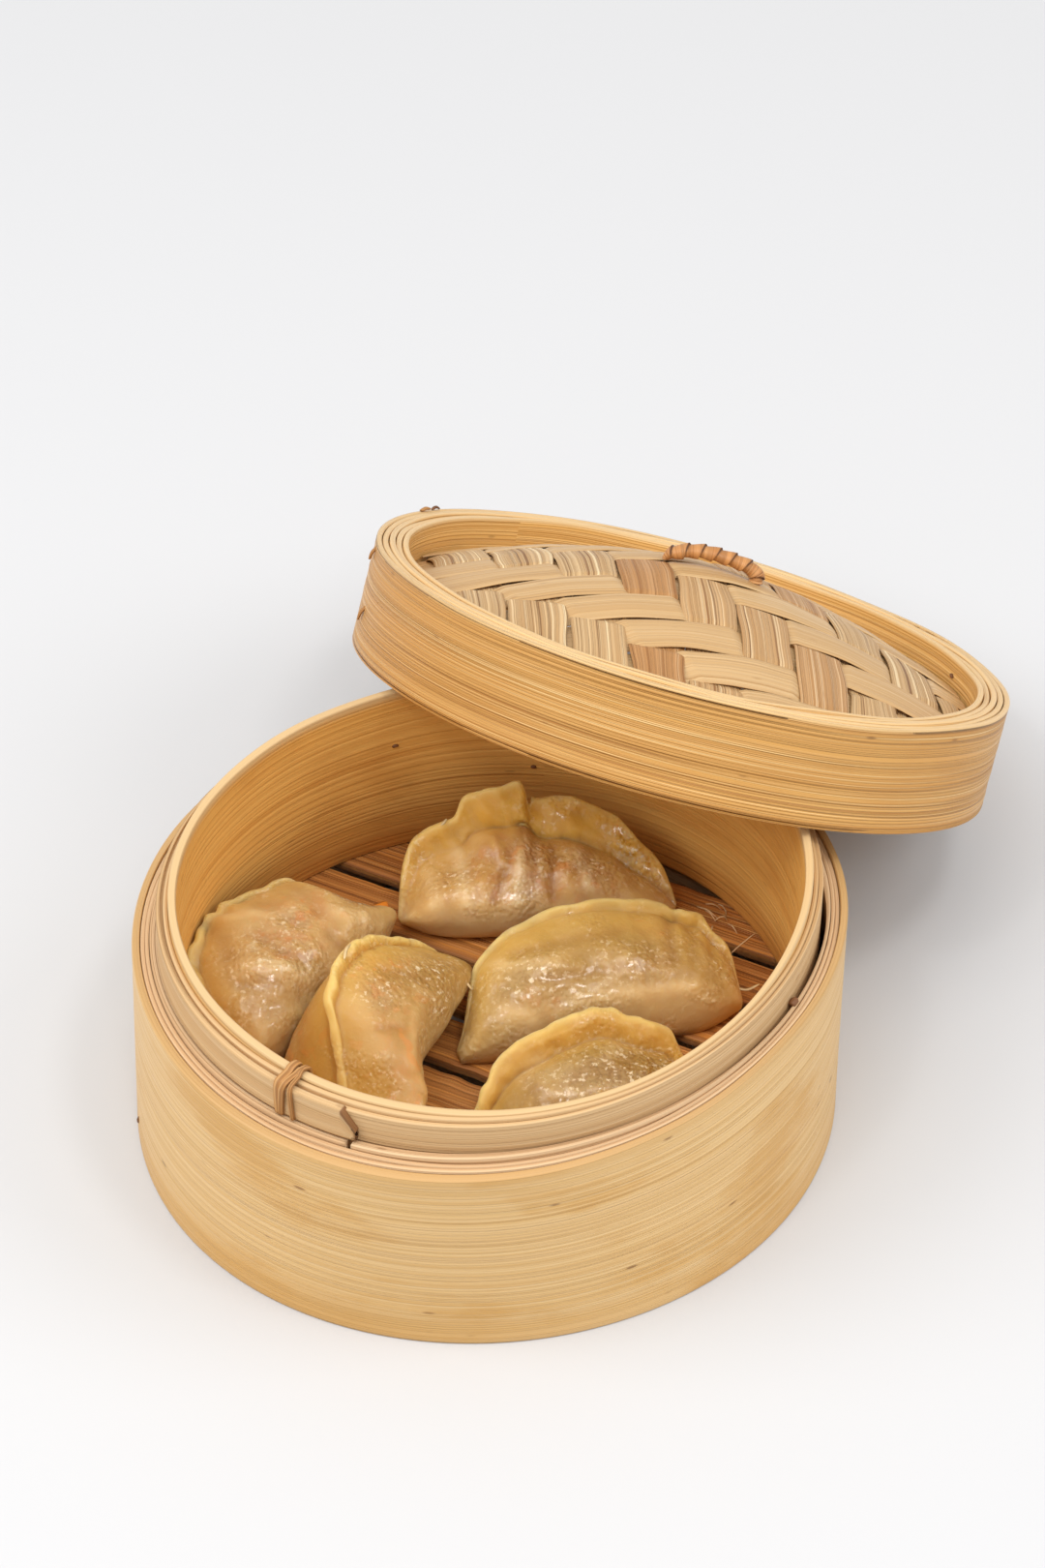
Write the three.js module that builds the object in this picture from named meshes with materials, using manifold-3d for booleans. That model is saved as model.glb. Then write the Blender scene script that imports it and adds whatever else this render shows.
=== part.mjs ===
// Steamed gyoza in a round bamboo steamer basket, with the woven lid leaning on the basket's rim.
// Millimetres, +Z up. The origin is the middle of the underside of the whole part's box.
import * as THREE from 'three';
import Module from 'manifold-3d';

const wasm = await Module();
wasm.setup();

// Gap left between pieces that touch.
const GAP = 0.3;

// Plan curves of the basket: hand-bent hoops, so a little uneven (shares of the radius).
const FOOT_CURVE = { radius: 100.1, x: 0, y: 0, cos2: 0.004, sin2: 0.016, cos3: 0.002, sin3: -0.003 };
const BAND_CURVE = { radius: 100, x: 0.4, y: 0, cos2: 0.005, sin2: 0.036, cos3: 0.007, sin3: 0.018 };
const COLLAR_CURVE = { radius: 87.9, x: 2.3, y: 0.3, cos2: -0.001, sin2: 0.037, cos3: -0.009, sin3: 0.01 };
const WALL_THICKNESS = 12.4;
const RING_STEPS = 56;

// Height of the rims, with the slope of each rim along X and Y.
const BAND_RIM = { height: 64.7, slopeX: 0.1, slopeY: -0.6 };
const COLLAR_RIM = { height: 81.3, slopeX: -0.9, slopeY: 1.2 };
const BAND_CHAMFER = 1;
const INNER_WINDING_RIM = { height: 67, slopeX: 0.1, slopeY: -2.4 };
const OUTER_WINDING_RIM = { height: 66.2, slopeX: 0.1, slopeY: -1.7 };
const OUTER_COLLAR_RIM = { height: 77.9, slopeX: -0.4, slopeY: -1.8 };

// Layers of the wall, from the collar's inner face outward.
const INNER_COLLAR = [0, 2.2];
const OUTER_COLLAR = [2.5, 5];
const INNER_WINDING = [5.4, 7.5];
const OUTER_WINDING = [7.8, 9.9];
const OUTER_BAND = [10.2, 12.4];

// Lapped end of the collar's outer layer, and the two strands that lash it.
const LAP_END = -111.6;
const LAP_CLIP = 4;
const LAP_RUN = 118;
const LAP_THICKNESS = 1.7;
const LAP_STEPS = 24;
const STRAND_ANGLES = [-126, -123.6];
const STRAND_LEAN = 1.1;
const STRAND_WIDTH = 2.9;
const STRAND_THICKNESS = 0.9;
const STRAND_INSIDE = 16;
const WINDING_SPLIT = -112.6;
const WINDING_SPLIT_WIDTH = 1.3;

// Floor slats.
const FLOOR_TOP = 21;
const SLAT_THICKNESS = 3.5;
const SLAT_WIDTH = 16.4;
const SLAT_PITCH = 20.32;
const SLAT_FIRST = -66.4;
const SLAT_COUNT = 8;
const SLAT_ANGLE = -27;
const SLAT_END = 7.1;
const MORTISE_DEPTH = 9;

// Leaning lid: the middle of its upper edge, its lean and the side that is low.
const LID_CENTRE = new THREE.Vector3(60.6, 121.9, 77.6);
const LID_LEAN = 29.8;
const LID_LOW_SIDE = 61.7;
const LID_RADIUS = 98.6;
const LID_OVAL_COS = -0.003;
const LID_OVAL_SIN = 0.036;
const LID_HEIGHT = 31.9;
const LID_INNER_HEIGHT = 14;
const LID_LAYERS = 5;
const LID_SKIRT_LAYERS = 2;
const LID_LAYER_PITCH = 2.06;
const LID_LAYER_DROP = 0.35;

// Woven dome of the lid: strips in two directions, over two and under two.
const DOME_APEX = 13;
const DOME_EDGE = -11;
const DOME_RADIUS = 88;
const DOME_POWER = 1.65;
const STRIP_THICKNESS = 0.7;
const STRIP_LIFT = 0.56;
const ACROSS = { angle: -52, first: -77.9, pitch: 15.3, count: 11, width: 13.5 };
const ALONG = { angle: 31, first: -81.2, pitch: 16.6, count: 10, width: 14.8 };
const WEAVE_PHASE = 1;
const WEAVE_REACH = 81;
const STRIP_STEP = 0.05;

// Wrapped handle on top of the dome.
const HANDLE_CENTRE = [3.5, -0.5];
const HANDLE_ANGLE = -64;
const HANDLE_HALF_SPAN = 14;
const HANDLE_RISE = 4;
const HANDLE_THICK = 2.6;
const HANDLE_WRAPS = 8;
const HANDLE_WRAP_STEP = 0.35;
const HANDLE_SIDES = 8;

// Gyoza: half-moon dumplings. Place and turn in the basket, half length, height from fold to rim,
// bulge of the upper and lower face, lean from the floor, bow of the fold, waves and taper of the rim.
const GYOZA = {
  gyoza_left: {
    x: -47, y: 13, turn: 58, half: 36.5, tall: 39.5, upper: 14, lower: 9, lean: 30,
    bow: 4, waves: 2.5, wave: 2.4, phase: 0.6, peak: -0.14, taper: 0.62, sink: 3,
  },
  gyoza_front_left: {
    x: -26.5, y: -18.5, turn: 69, half: 41, tall: 36, upper: 14.5, lower: 19, lean: 62,
    bow: 4, waves: 1.5, wave: 1.4, phase: 2.1, peak: 0.05, taper: 0.55, sink: 3,
  },
  gyoza_back: {
    x: 14, y: 47, turn: 4, half: 41, tall: 42, upper: 13, lower: 9, lean: 46,
    bow: 4, waves: 3, wave: 2.2, phase: 1.2, peak: -0.1, taper: 0.82, sink: 3,
  },
  gyoza_right: {
    x: 33, y: 0, turn: 11, half: 41, tall: 41, upper: 15, lower: 9, lean: 34,
    bow: 4, waves: 2, wave: 1.5, phase: 0.2, peak: 0.12, taper: 0.55, sink: 3,
  },
  gyoza_front: {
    x: 29.5, y: -45, turn: 14, half: 34.5, tall: 37, upper: 13, lower: 9, lean: 42,
    bow: 4, waves: 2, wave: 1.2, phase: 1.8, peak: 0.06, taper: 0.6, sink: 3,
  },
};
const GYOZA_STATIONS = 23;
const GYOZA_BODY_POINTS = 14;
const GYOZA_BODY_SHARE = 0.82;
const GYOZA_RIM_HALF = 1.3;
const GYOZA_END = 9;

const BAND_COLOUR = 0xdfbf85;
const COLLAR_COLOUR = 0xd9b785;
const WINDING_COLOUR = 0xcda671;
const LASHING_COLOUR = 0xa87c4e;
const SLAT_COLOUR = 0xa9794a;
const LID_COLOUR = 0xd6aa63;
const ACROSS_COLOUR = 0xdfc08c;
const ALONG_COLOUR = 0xc49c66;
const HANDLE_COLOUR = 0xc2925c;
const GYOZA_COLOUR = 0xd0ad70;

const part = new THREE.Group();
part.name = 'gyoza_in_steamer';

const radians = THREE.MathUtils.degToRad;
const mix = THREE.MathUtils.lerp;

// Adds one named piece with its own finish.
function addPiece(name, geometry, colour, roughness) {
  geometry.computeVertexNormals();
  const material = new THREE.MeshStandardMaterial({ color: colour, roughness, metalness: 0 });
  const mesh = new THREE.Mesh(geometry, material);
  mesh.name = name;
  part.add(mesh);
}

// Six times the signed volume of an indexed mesh: below zero when its faces point inward.
function signedVolume(position, index) {
  const a = new THREE.Vector3();
  const b = new THREE.Vector3();
  const c = new THREE.Vector3();
  let sum = 0;
  for (let i = 0; i < index.length; i += 3) {
    a.fromArray(position, 3 * index[i]);
    b.fromArray(position, 3 * index[i + 1]);
    c.fromArray(position, 3 * index[i + 2]);
    sum += a.dot(b.cross(c));
  }
  return sum;
}

// Skins rows of equal closed loops. A ring joins the last row to the first, otherwise both ends get caps.
// The two halves of a loop are split along like diagonals, so that nested rings keep their gap.
function skin(rows, ring) {
  const size = rows[0].length;
  const position = rows.flat().flatMap((p) => [p.x, p.y, p.z]);
  const index = [];
  const spans = ring ? rows.length : rows.length - 1;
  for (let i = 0; i < spans; i += 1) {
    const next = (i + 1) % rows.length;
    for (let j = 0; j < size; j += 1) {
      const k = (j + 1) % size;
      const [a, b, c, d] = [i * size + j, i * size + k, next * size + k, next * size + j];
      if (j < size / 2) {
        index.push(a, b, c, a, c, d);
      } else {
        index.push(a, b, d, b, c, d);
      }
    }
  }
  if (!ring) {
    [0, rows.length - 1].forEach((row, end) => {
      const middle = new THREE.Vector3();
      rows[row].forEach((p) => middle.addScaledVector(p, 1 / size));
      const centre = position.length / 3;
      position.push(middle.x, middle.y, middle.z);
      for (let j = 0; j < size; j += 1) {
        const pair = [row * size + j, row * size + ((j + 1) % size)];
        index.push(centre, pair[1 - end], pair[end]);
      }
    });
  }
  if (signedVolume(position, index) < 0) {
    index.reverse();
  }
  const geometry = new THREE.BufferGeometry();
  geometry.setAttribute('position', new THREE.Float32BufferAttribute(position, 3));
  geometry.setIndex(index);
  return geometry;
}

function toManifold(geometry) {
  const vertProperties = new Float32Array(geometry.getAttribute('position').array);
  const triVerts = new Uint32Array(geometry.getIndex().array);
  return new wasm.Manifold(new wasm.Mesh({ numProp: 3, vertProperties, triVerts }));
}

function fromManifold(manifold) {
  const mesh = manifold.getMesh();
  const geometry = new THREE.BufferGeometry();
  geometry.setAttribute('position', new THREE.Float32BufferAttribute(mesh.vertProperties, 3));
  geometry.setIndex(new THREE.Uint32BufferAttribute(mesh.triVerts, 1));
  return geometry;
}

function anglesBetween(start, end, steps) {
  return Array.from({ length: steps + 1 }, (_, i) => radians(mix(start, end, i / steps)));
}

function planPoint(curve, angle, inset) {
  const second = curve.cos2 * Math.cos(2 * angle) + curve.sin2 * Math.sin(2 * angle);
  const third = curve.cos3 * Math.cos(3 * angle) + curve.sin3 * Math.sin(3 * angle);
  const radius = (curve.radius - inset) * (1 + second + third);
  return new THREE.Vector2(curve.x + radius * Math.cos(angle), curve.y + radius * Math.sin(angle));
}

// Point in the basket's wall: depth is measured from the collar's inner face outward.
function wallPoint(angle, depth, z) {
  const innerFoot = planPoint(FOOT_CURVE, angle, WALL_THICKNESS);
  const inner = innerFoot.lerp(planPoint(COLLAR_CURVE, angle, 0), z / COLLAR_RIM.height);
  const outer = planPoint(FOOT_CURVE, angle, 0).lerp(planPoint(BAND_CURVE, angle, 0), z / BAND_RIM.height);
  const point = inner.lerp(outer, depth / WALL_THICKNESS);
  return new THREE.Vector3(point.x, point.y, z);
}

function rimLevel(rim, angle) {
  return rim.height + rim.slopeX * Math.cos(angle) + rim.slopeY * Math.sin(angle);
}

// Cross section of one layer of the wall.
function layerSection(angle, depths, bottom, top, chamfer) {
  return [
    wallPoint(angle, depths[0], bottom),
    wallPoint(angle, depths[1], bottom),
    wallPoint(angle, depths[1], top - chamfer),
    wallPoint(angle, depths[0], top),
  ];
}

function wallRing(depths, bottom, rim, rise, chamfer) {
  const angles = anglesBetween(0, 360, RING_STEPS).slice(0, RING_STEPS);
  const rows = angles.map((a) => layerSection(a, depths, bottom, rimLevel(rim, a) + rise, chamfer));
  return skin(rows, true);
}

// Inner winding: a hoop with butted ends that leave a slit, pierced by the ends of the floor slats.
function buildInnerWinding(mortises) {
  const slit = WINDING_SPLIT_WIDTH / BAND_CURVE.radius;
  const start = radians(WINDING_SPLIT) + slit / 2;
  const end = radians(WINDING_SPLIT + 360) - slit / 2;
  const stations = anglesBetween(-360, 360, 2 * RING_STEPS).filter((a) => a > start && a < end);
  const angles = [start, ...stations, end];
  const rows = angles.map((a) => (
    layerSection(a, INNER_WINDING, 0, rimLevel(INNER_WINDING_RIM, a), 0)
  ));
  const pierced = mortises.reduce((ring, hole) => ring.subtract(hole), toManifold(skin(rows, false)));
  return fromManifold(pierced);
}

// Outer layer of the collar with its lapped end, which thins out backward and has a clipped corner.
function buildOuterCollar() {
  const ring = wallRing(OUTER_COLLAR, FLOOR_TOP + GAP, OUTER_COLLAR_RIM, 0, 0);
  const angles = anglesBetween(LAP_END - LAP_RUN, LAP_END, LAP_STEPS);
  const rows = angles.map((a, i) => {
    const share = i / LAP_STEPS;
    const behindEnd = THREE.MathUtils.radToDeg(angles[LAP_STEPS] - a);
    const bottom = rimLevel(INNER_WINDING_RIM, a) + GAP;
    const full = rimLevel(OUTER_COLLAR_RIM, a) - 0.2;
    const top = mix(mix(bottom, full, 0.35), full, Math.min(behindEnd / LAP_CLIP, 1));
    const face = OUTER_COLLAR[1] + mix(-0.3, LAP_THICKNESS, share);
    return layerSection(a, [OUTER_COLLAR[1] - 0.6, face], bottom, top, 0);
  });
  return fromManifold(toManifold(ring).add(toManifold(skin(rows, false))));
}

// One flat strand lashed over the collar: up the outer face, over the rim and down inside.
function buildStrand(angle) {
  const middle = radians(angle);
  const lapShare = 1 - (LAP_END - angle) / LAP_RUN;
  const outside = OUTER_COLLAR[1] + mix(-0.3, LAP_THICKNESS, lapShare) + GAP;
  const inside = -2 * GAP;
  const foot = rimLevel(INNER_WINDING_RIM, middle) + 2 * GAP;
  const rim = rimLevel(COLLAR_RIM, middle) + GAP;
  const thick = STRAND_THICKNESS;
  const path = [
    { depth: outside, z: foot, outDepth: thick, outZ: 0 },
    { depth: outside, z: rim - 1, outDepth: thick, outZ: 0 },
    { depth: outside - 0.4, z: rim, outDepth: thick * 0.7, outZ: thick * 0.7 },
    { depth: inside + 0.4, z: rim, outDepth: -thick * 0.7, outZ: thick * 0.7 },
    { depth: inside, z: rim - 1, outDepth: -thick, outZ: 0 },
    { depth: inside, z: rim - STRAND_INSIDE, outDepth: -thick, outZ: 0 },
  ];
  const half = STRAND_WIDTH / 2 / (COLLAR_CURVE.radius + outside);
  const rows = path.map((stop, i) => {
    const lean = radians(STRAND_LEAN) * (0.5 - i / (path.length - 1));
    const left = middle + lean - half;
    const right = middle + lean + half;
    return [
      wallPoint(left, stop.depth, stop.z),
      wallPoint(right, stop.depth, stop.z),
      wallPoint(right, stop.depth + stop.outDepth, stop.z + stop.outZ),
      wallPoint(left, stop.depth + stop.outDepth, stop.z + stop.outZ),
    ];
  });
  return skin(rows, false);
}

// Where a straight line across the floor meets the wall at a given depth.
function floorEdge(offset, depth, sign) {
  const along = new THREE.Vector2(Math.cos(radians(SLAT_ANGLE)), Math.sin(radians(SLAT_ANGLE)));
  const across = new THREE.Vector2(-along.y, along.x);
  let inside = 0;
  let outside = 2 * FOOT_CURVE.radius;
  for (let i = 0; i < 40; i += 1) {
    const reach = (inside + outside) / 2;
    const spot = across.clone().multiplyScalar(offset).addScaledVector(along, sign * reach);
    const wall = wallPoint(Math.atan2(spot.y, spot.x), depth, FLOOR_TOP);
    if (spot.length() < Math.hypot(wall.x, wall.y)) {
      inside = reach;
    } else {
      outside = reach;
    }
  }
  return across.clone().multiplyScalar(offset).addScaledVector(along, sign * inside);
}

// A slat, or the slightly larger hole that its ends sit in.
function buildSlat(centre, grow, depth) {
  const low = FLOOR_TOP - SLAT_THICKNESS - grow;
  const high = FLOOR_TOP + grow;
  const edges = [centre - SLAT_WIDTH / 2 - grow, centre + SLAT_WIDTH / 2 + grow];
  const rows = [-1, 1].map((sign) => {
    const corners = edges.map((offset) => floorEdge(offset, depth, sign));
    return [
      new THREE.Vector3(corners[0].x, corners[0].y, low),
      new THREE.Vector3(corners[1].x, corners[1].y, low),
      new THREE.Vector3(corners[1].x, corners[1].y, high),
      new THREE.Vector3(corners[0].x, corners[0].y, high),
    ];
  });
  return skin(rows, false);
}

function lidRadius(radius, angle) {
  return radius * (1 + LID_OVAL_COS * Math.cos(2 * angle) + LID_OVAL_SIN * Math.sin(2 * angle));
}

function lidPoint(radius, angle, z) {
  const reach = lidRadius(radius, angle);
  return new THREE.Vector3(reach * Math.cos(angle), reach * Math.sin(angle), z);
}

// Frame of the lid: X toward its low side, Z out of its woven top.
function lidFrame() {
  const lean = radians(LID_LEAN);
  const side = radians(LID_LOW_SIDE);
  const level = new THREE.Vector3(Math.cos(side), Math.sin(side), 0);
  const upright = new THREE.Vector3(0, 0, 1);
  const up = upright.clone().multiplyScalar(Math.cos(lean)).addScaledVector(level, Math.sin(lean));
  const low = level.clone().multiplyScalar(Math.cos(lean)).addScaledVector(upright, -Math.sin(lean));
  const cross = new THREE.Vector3().crossVectors(up, low);
  return new THREE.Matrix4().makeBasis(low, cross, up).setPosition(LID_CENTRE);
}

// One wound layer of the lid's hoop. The outer layers reach down as a skirt.
function buildLidLayer(number) {
  const outer = LID_RADIUS - number * LID_LAYER_PITCH;
  const inner = outer - LID_LAYER_PITCH + GAP;
  const top = number === 0 ? -LID_LAYER_DROP : -LID_LAYER_DROP * (number % 2);
  const bottom = number < LID_SKIRT_LAYERS ? -LID_HEIGHT + number * GAP : -LID_INNER_HEIGHT;
  const angles = anglesBetween(0, 360, RING_STEPS).slice(0, RING_STEPS);
  const rows = angles.map((a) => [
    lidPoint(inner, a, bottom),
    lidPoint(outer, a, bottom),
    lidPoint(outer, a, top),
    lidPoint(inner, a, top),
  ]);
  return skin(rows, true);
}

function domeHeight(x, y) {
  const share = Math.hypot(x, y) / DOME_RADIUS;
  return DOME_APEX - (DOME_APEX - DOME_EDGE) * Math.pow(share, DOME_POWER);
}

// Point of the weave, given by its distances from the middle across the two directions of strips.
function weavePoint(acrossOffset, alongOffset) {
  const a = radians(ACROSS.angle);
  const b = radians(ALONG.angle);
  const skew = Math.sin(b - a);
  const x = (acrossOffset * Math.cos(b) - alongOffset * Math.cos(a)) / skew;
  const y = (acrossOffset * Math.sin(b) - alongOffset * Math.sin(a)) / skew;
  return new THREE.Vector2(x, y);
}

function insideDome(point) {
  const inner = LID_RADIUS - LID_LAYERS * LID_LAYER_PITCH;
  return point.length() < lidRadius(inner, Math.atan2(point.y, point.x)) - GAP;
}

// Which strip lies on top where two of them cross.
function acrossIsOver(acrossNumber, alongNumber) {
  return (alongNumber - acrossNumber + WEAVE_PHASE + 40) % 4 < 2;
}

// Ribbon of the weave: level over each strip it crosses, stepping up or down between them.
function buildStrip(own, other, number, place, isOver) {
  const centre = own.first + number * own.pitch;
  const sides = [-1, 1].map((sign) => (
    THREE.MathUtils.clamp(centre + (sign * own.width) / 2, -WEAVE_REACH, WEAVE_REACH)
  ));
  const stops = [];
  for (let i = 0; i < other.count; i += 1) {
    const lift = isOver(number, i) ? STRIP_LIFT : -STRIP_LIFT;
    const middle = other.first + i * other.pitch;
    stops.push({ number: i, at: middle - other.width / 2, lift });
    stops.push({ number: i, at: middle + other.width / 2, lift });
  }
  const kept = stops.filter((stop) => sides.every((side) => insideDome(place(side, stop.at))));
  const endRow = (last, step) => {
    const beyond = stops.filter((stop) => (stop.at - last.at) * step > 0 && stop.number !== last.number);
    const room = Math.min(...beyond.map((stop) => Math.abs(stop.at - last.at) - GAP));
    const ats = sides.map((side) => {
      let reach = 0;
      while (reach < room && insideDome(place(side, last.at + (reach + STRIP_STEP) * step))) {
        reach += STRIP_STEP;
      }
      return last.at + reach * step;
    });
    return { ats, lift: last.lift };
  };
  const rows = [
    endRow(kept[0], -1),
    ...kept.map((stop) => ({ ats: [stop.at, stop.at], lift: stop.lift })),
    endRow(kept.at(-1), 1),
  ];
  return skin(rows.map((row) => {
    const spots = sides.map((side, i) => place(side, row.ats[i]));
    const corner = (spot, half) => (
      new THREE.Vector3(spot.x, spot.y, domeHeight(spot.x, spot.y) + row.lift + half * STRIP_THICKNESS)
    );
    return [corner(spots[0], -0.5), corner(spots[1], -0.5), corner(spots[1], 0.5), corner(spots[0], 0.5)];
  }), false);
}

// Arched handle of wrapped cane: each turn of the wrap steps out a little over the one before.
function buildHandle() {
  const heading = radians(HANDLE_ANGLE);
  const steps = HANDLE_WRAPS * 3 - 1;
  const top = STRIP_LIFT + STRIP_THICKNESS / 2 + 2 * GAP;
  const rows = [];
  for (let i = 0; i <= steps; i += 1) {
    const sweep = (Math.PI * i) / steps;
    const reach = -HANDLE_HALF_SPAN * Math.cos(sweep);
    const x = HANDLE_CENTRE[0] + reach * Math.cos(heading);
    const y = HANDLE_CENTRE[1] + reach * Math.sin(heading);
    const z = domeHeight(x, y) + top + HANDLE_RISE * Math.sin(sweep);
    const run = HANDLE_HALF_SPAN * Math.sin(sweep);
    const rise = HANDLE_RISE * Math.cos(sweep);
    const outward = new THREE.Vector3(-rise * Math.cos(heading), -rise * Math.sin(heading), run).normalize();
    const sideways = new THREE.Vector3(-Math.sin(heading), Math.cos(heading), 0);
    const thick = HANDLE_THICK - HANDLE_WRAP_STEP * ((i % 3) / 2);
    rows.push(Array.from({ length: HANDLE_SIDES }, (_, j) => {
      const round = (2 * Math.PI * (j + 0.5)) / HANDLE_SIDES;
      const point = new THREE.Vector3(x, y, z);
      point.addScaledVector(outward, thick * Math.sin(round));
      return point.addScaledVector(sideways, thick * Math.cos(round));
    }));
  }
  return skin(rows, false);
}

// One gyoza: sections across a half moon with a bulging body and a thin, waved rim.
function buildGyoza(g) {
  const lean = radians(g.lean);
  const turn = radians(g.turn);
  const rows = [];
  for (let i = 0; i < GYOZA_STATIONS; i += 1) {
    const t = Math.sin((Math.PI / 2) * (-1 + (2 * i) / (GYOZA_STATIONS - 1)) * 0.97);
    const shifted = THREE.MathUtils.clamp(t - g.peak * (1 - t * t), -1, 1);
    const arch = Math.pow(1 - Math.pow(Math.abs(shifted), 2.4), g.taper);
    const belly = Math.pow(1 - Math.pow(Math.abs(t), 3), 0.5);
    const fold = -g.bow * (1 - t * t);
    const rim = GYOZA_END + (g.tall - GYOZA_END) * arch;
    const section = [];
    const wave = g.wave * Math.sin(Math.PI * g.waves * t + g.phase);
    const place = (share, out) => {
      const reach = fold + share * (rim - fold);
      const height = out + wave * THREE.MathUtils.smoothstep(share, 0.55, 1);
      section.push(new THREE.Vector3(
        g.half * t,
        reach * Math.cos(lean) - height * Math.sin(lean),
        reach * Math.sin(lean) + height * Math.cos(lean),
      ));
    };
    place(1, 0);
    place(0.96, GYOZA_RIM_HALF);
    for (let j = 0; j < GYOZA_BODY_POINTS; j += 1) {
      const round = (2 * Math.PI * (j + 0.5)) / GYOZA_BODY_POINTS;
      const share = GYOZA_BODY_SHARE * Math.pow((1 + Math.cos(round)) / 2, 1.1);
      const bulge = round < Math.PI ? g.upper : g.lower;
      const side = round < Math.PI ? 1 : -1;
      const skinHalf = GYOZA_RIM_HALF * Math.min(1, 4 * share);
      place(share, side * skinHalf + bulge * belly * Math.sin(round));
    }
    place(0.96, -GYOZA_RIM_HALF);
    rows.push(section);
  }
  const lowest = Math.min(...rows.flat().map((p) => p.z));
  rows.flat().forEach((p) => {
    const x = p.x * Math.cos(turn) - p.y * Math.sin(turn);
    const y = p.x * Math.sin(turn) + p.y * Math.cos(turn);
    const z = FLOOR_TOP + GAP + Math.max(0, p.z - lowest - g.sink);
    p.set(g.x + x, g.y + y, z);
  });
  return skin(rows, false);
}

addPiece('outer_band', wallRing(OUTER_BAND, 0, BAND_RIM, BAND_CHAMFER, BAND_CHAMFER), BAND_COLOUR, 0.5);
addPiece('outer_winding', wallRing(OUTER_WINDING, 0, OUTER_WINDING_RIM, 0, 0), WINDING_COLOUR, 0.6);
const slatCentres = Array.from({ length: SLAT_COUNT }, (_, i) => SLAT_FIRST + i * SLAT_PITCH);
const mortises = slatCentres.map((centre) => toManifold(buildSlat(centre, GAP, MORTISE_DEPTH)));
addPiece('inner_winding', buildInnerWinding(mortises), WINDING_COLOUR, 0.6);
addPiece('outer_collar', buildOuterCollar(), COLLAR_COLOUR, 0.5);
addPiece('inner_collar', wallRing(INNER_COLLAR, FLOOR_TOP + GAP, COLLAR_RIM, 0, 0), COLLAR_COLOUR, 0.5);
STRAND_ANGLES.forEach((angle, i) => addPiece(`lashing_${i + 1}`, buildStrand(angle), LASHING_COLOUR, 0.6));
slatCentres.forEach((centre, i) => {
  addPiece(`floor_slat_${i + 1}`, buildSlat(centre, 0, SLAT_END), SLAT_COLOUR, 0.65);
});
Object.entries(GYOZA).forEach(([name, g]) => addPiece(name, buildGyoza(g), GYOZA_COLOUR, 0.3));

const leaning = lidFrame();
for (let i = 0; i < LID_LAYERS; i += 1) {
  addPiece(`lid_layer_${i + 1}`, buildLidLayer(i).applyMatrix4(leaning), LID_COLOUR, 0.5);
}
for (let i = 0; i < ACROSS.count; i += 1) {
  const strip = buildStrip(ACROSS, ALONG, i, (own, other) => weavePoint(own, other), acrossIsOver);
  addPiece(`weave_across_${i + 1}`, strip.applyMatrix4(leaning), ACROSS_COLOUR, 0.55);
}
for (let i = 0; i < ALONG.count; i += 1) {
  const strip = buildStrip(
    ALONG, ACROSS, i, (own, other) => weavePoint(other, own), (own, other) => !acrossIsOver(other, own),
  );
  addPiece(`weave_along_${i + 1}`, strip.applyMatrix4(leaning), ALONG_COLOUR, 0.6);
}
addPiece('lid_handle', buildHandle().applyMatrix4(leaning), HANDLE_COLOUR, 0.55);

// Move everything so that the origin is the middle of the underside of the whole box.
const box = new THREE.Box3().setFromObject(part);
const middle = box.getCenter(new THREE.Vector3());
part.children.forEach((mesh) => mesh.geometry.translate(-middle.x, -middle.y, -box.min.z));

export default part;
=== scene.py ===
# %% [markdown]
# # Steamed gyoza in a bamboo steamer basket
# This lesson dresses a small kitchen still life: half-moon dumplings in a round bamboo steamer, with
# the woven lid leaning on its rim. The plain solids are loaded first and stay where they are. Every
# piece made below stands for one of them, with the bends, edges and fibres that the plain solid lacks.

# %% Load the plain solids
import math

import bmesh
import bpy
import numpy as np
from mathutils import Matrix, Vector


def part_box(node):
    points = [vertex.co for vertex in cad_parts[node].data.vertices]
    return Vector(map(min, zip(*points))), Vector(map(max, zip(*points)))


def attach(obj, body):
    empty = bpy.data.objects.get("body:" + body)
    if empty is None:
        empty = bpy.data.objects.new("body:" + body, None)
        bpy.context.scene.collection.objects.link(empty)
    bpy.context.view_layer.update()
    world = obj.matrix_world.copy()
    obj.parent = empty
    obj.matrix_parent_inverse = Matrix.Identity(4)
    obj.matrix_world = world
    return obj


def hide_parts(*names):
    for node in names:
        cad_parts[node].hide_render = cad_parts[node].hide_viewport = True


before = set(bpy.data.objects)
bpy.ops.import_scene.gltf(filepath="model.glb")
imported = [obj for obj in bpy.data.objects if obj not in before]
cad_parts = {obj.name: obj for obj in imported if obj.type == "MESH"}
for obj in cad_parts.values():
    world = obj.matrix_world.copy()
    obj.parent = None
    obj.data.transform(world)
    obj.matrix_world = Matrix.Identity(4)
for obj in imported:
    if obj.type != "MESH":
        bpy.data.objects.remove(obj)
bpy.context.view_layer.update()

print("plain solids:", len(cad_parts))

# %% [markdown]
# ## Where things stand
# The basket is the easiest thing to measure from, so all sizes below are millimetres from the basket's
# own axis, on the table. One small function turns them into the metres that Blender works in.

# %% Millimetres from the basket's axis
BASKET_AXIS = np.array([-26.821, -55.771, 0.0])


def to_metres(points):
    return (np.asarray(points, float) + BASKET_AXIS) / 1000.0


band_low, band_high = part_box("outer_band")
print("band is", round((band_high.x - band_low.x) * 1000, 1), "mm wide")
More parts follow.
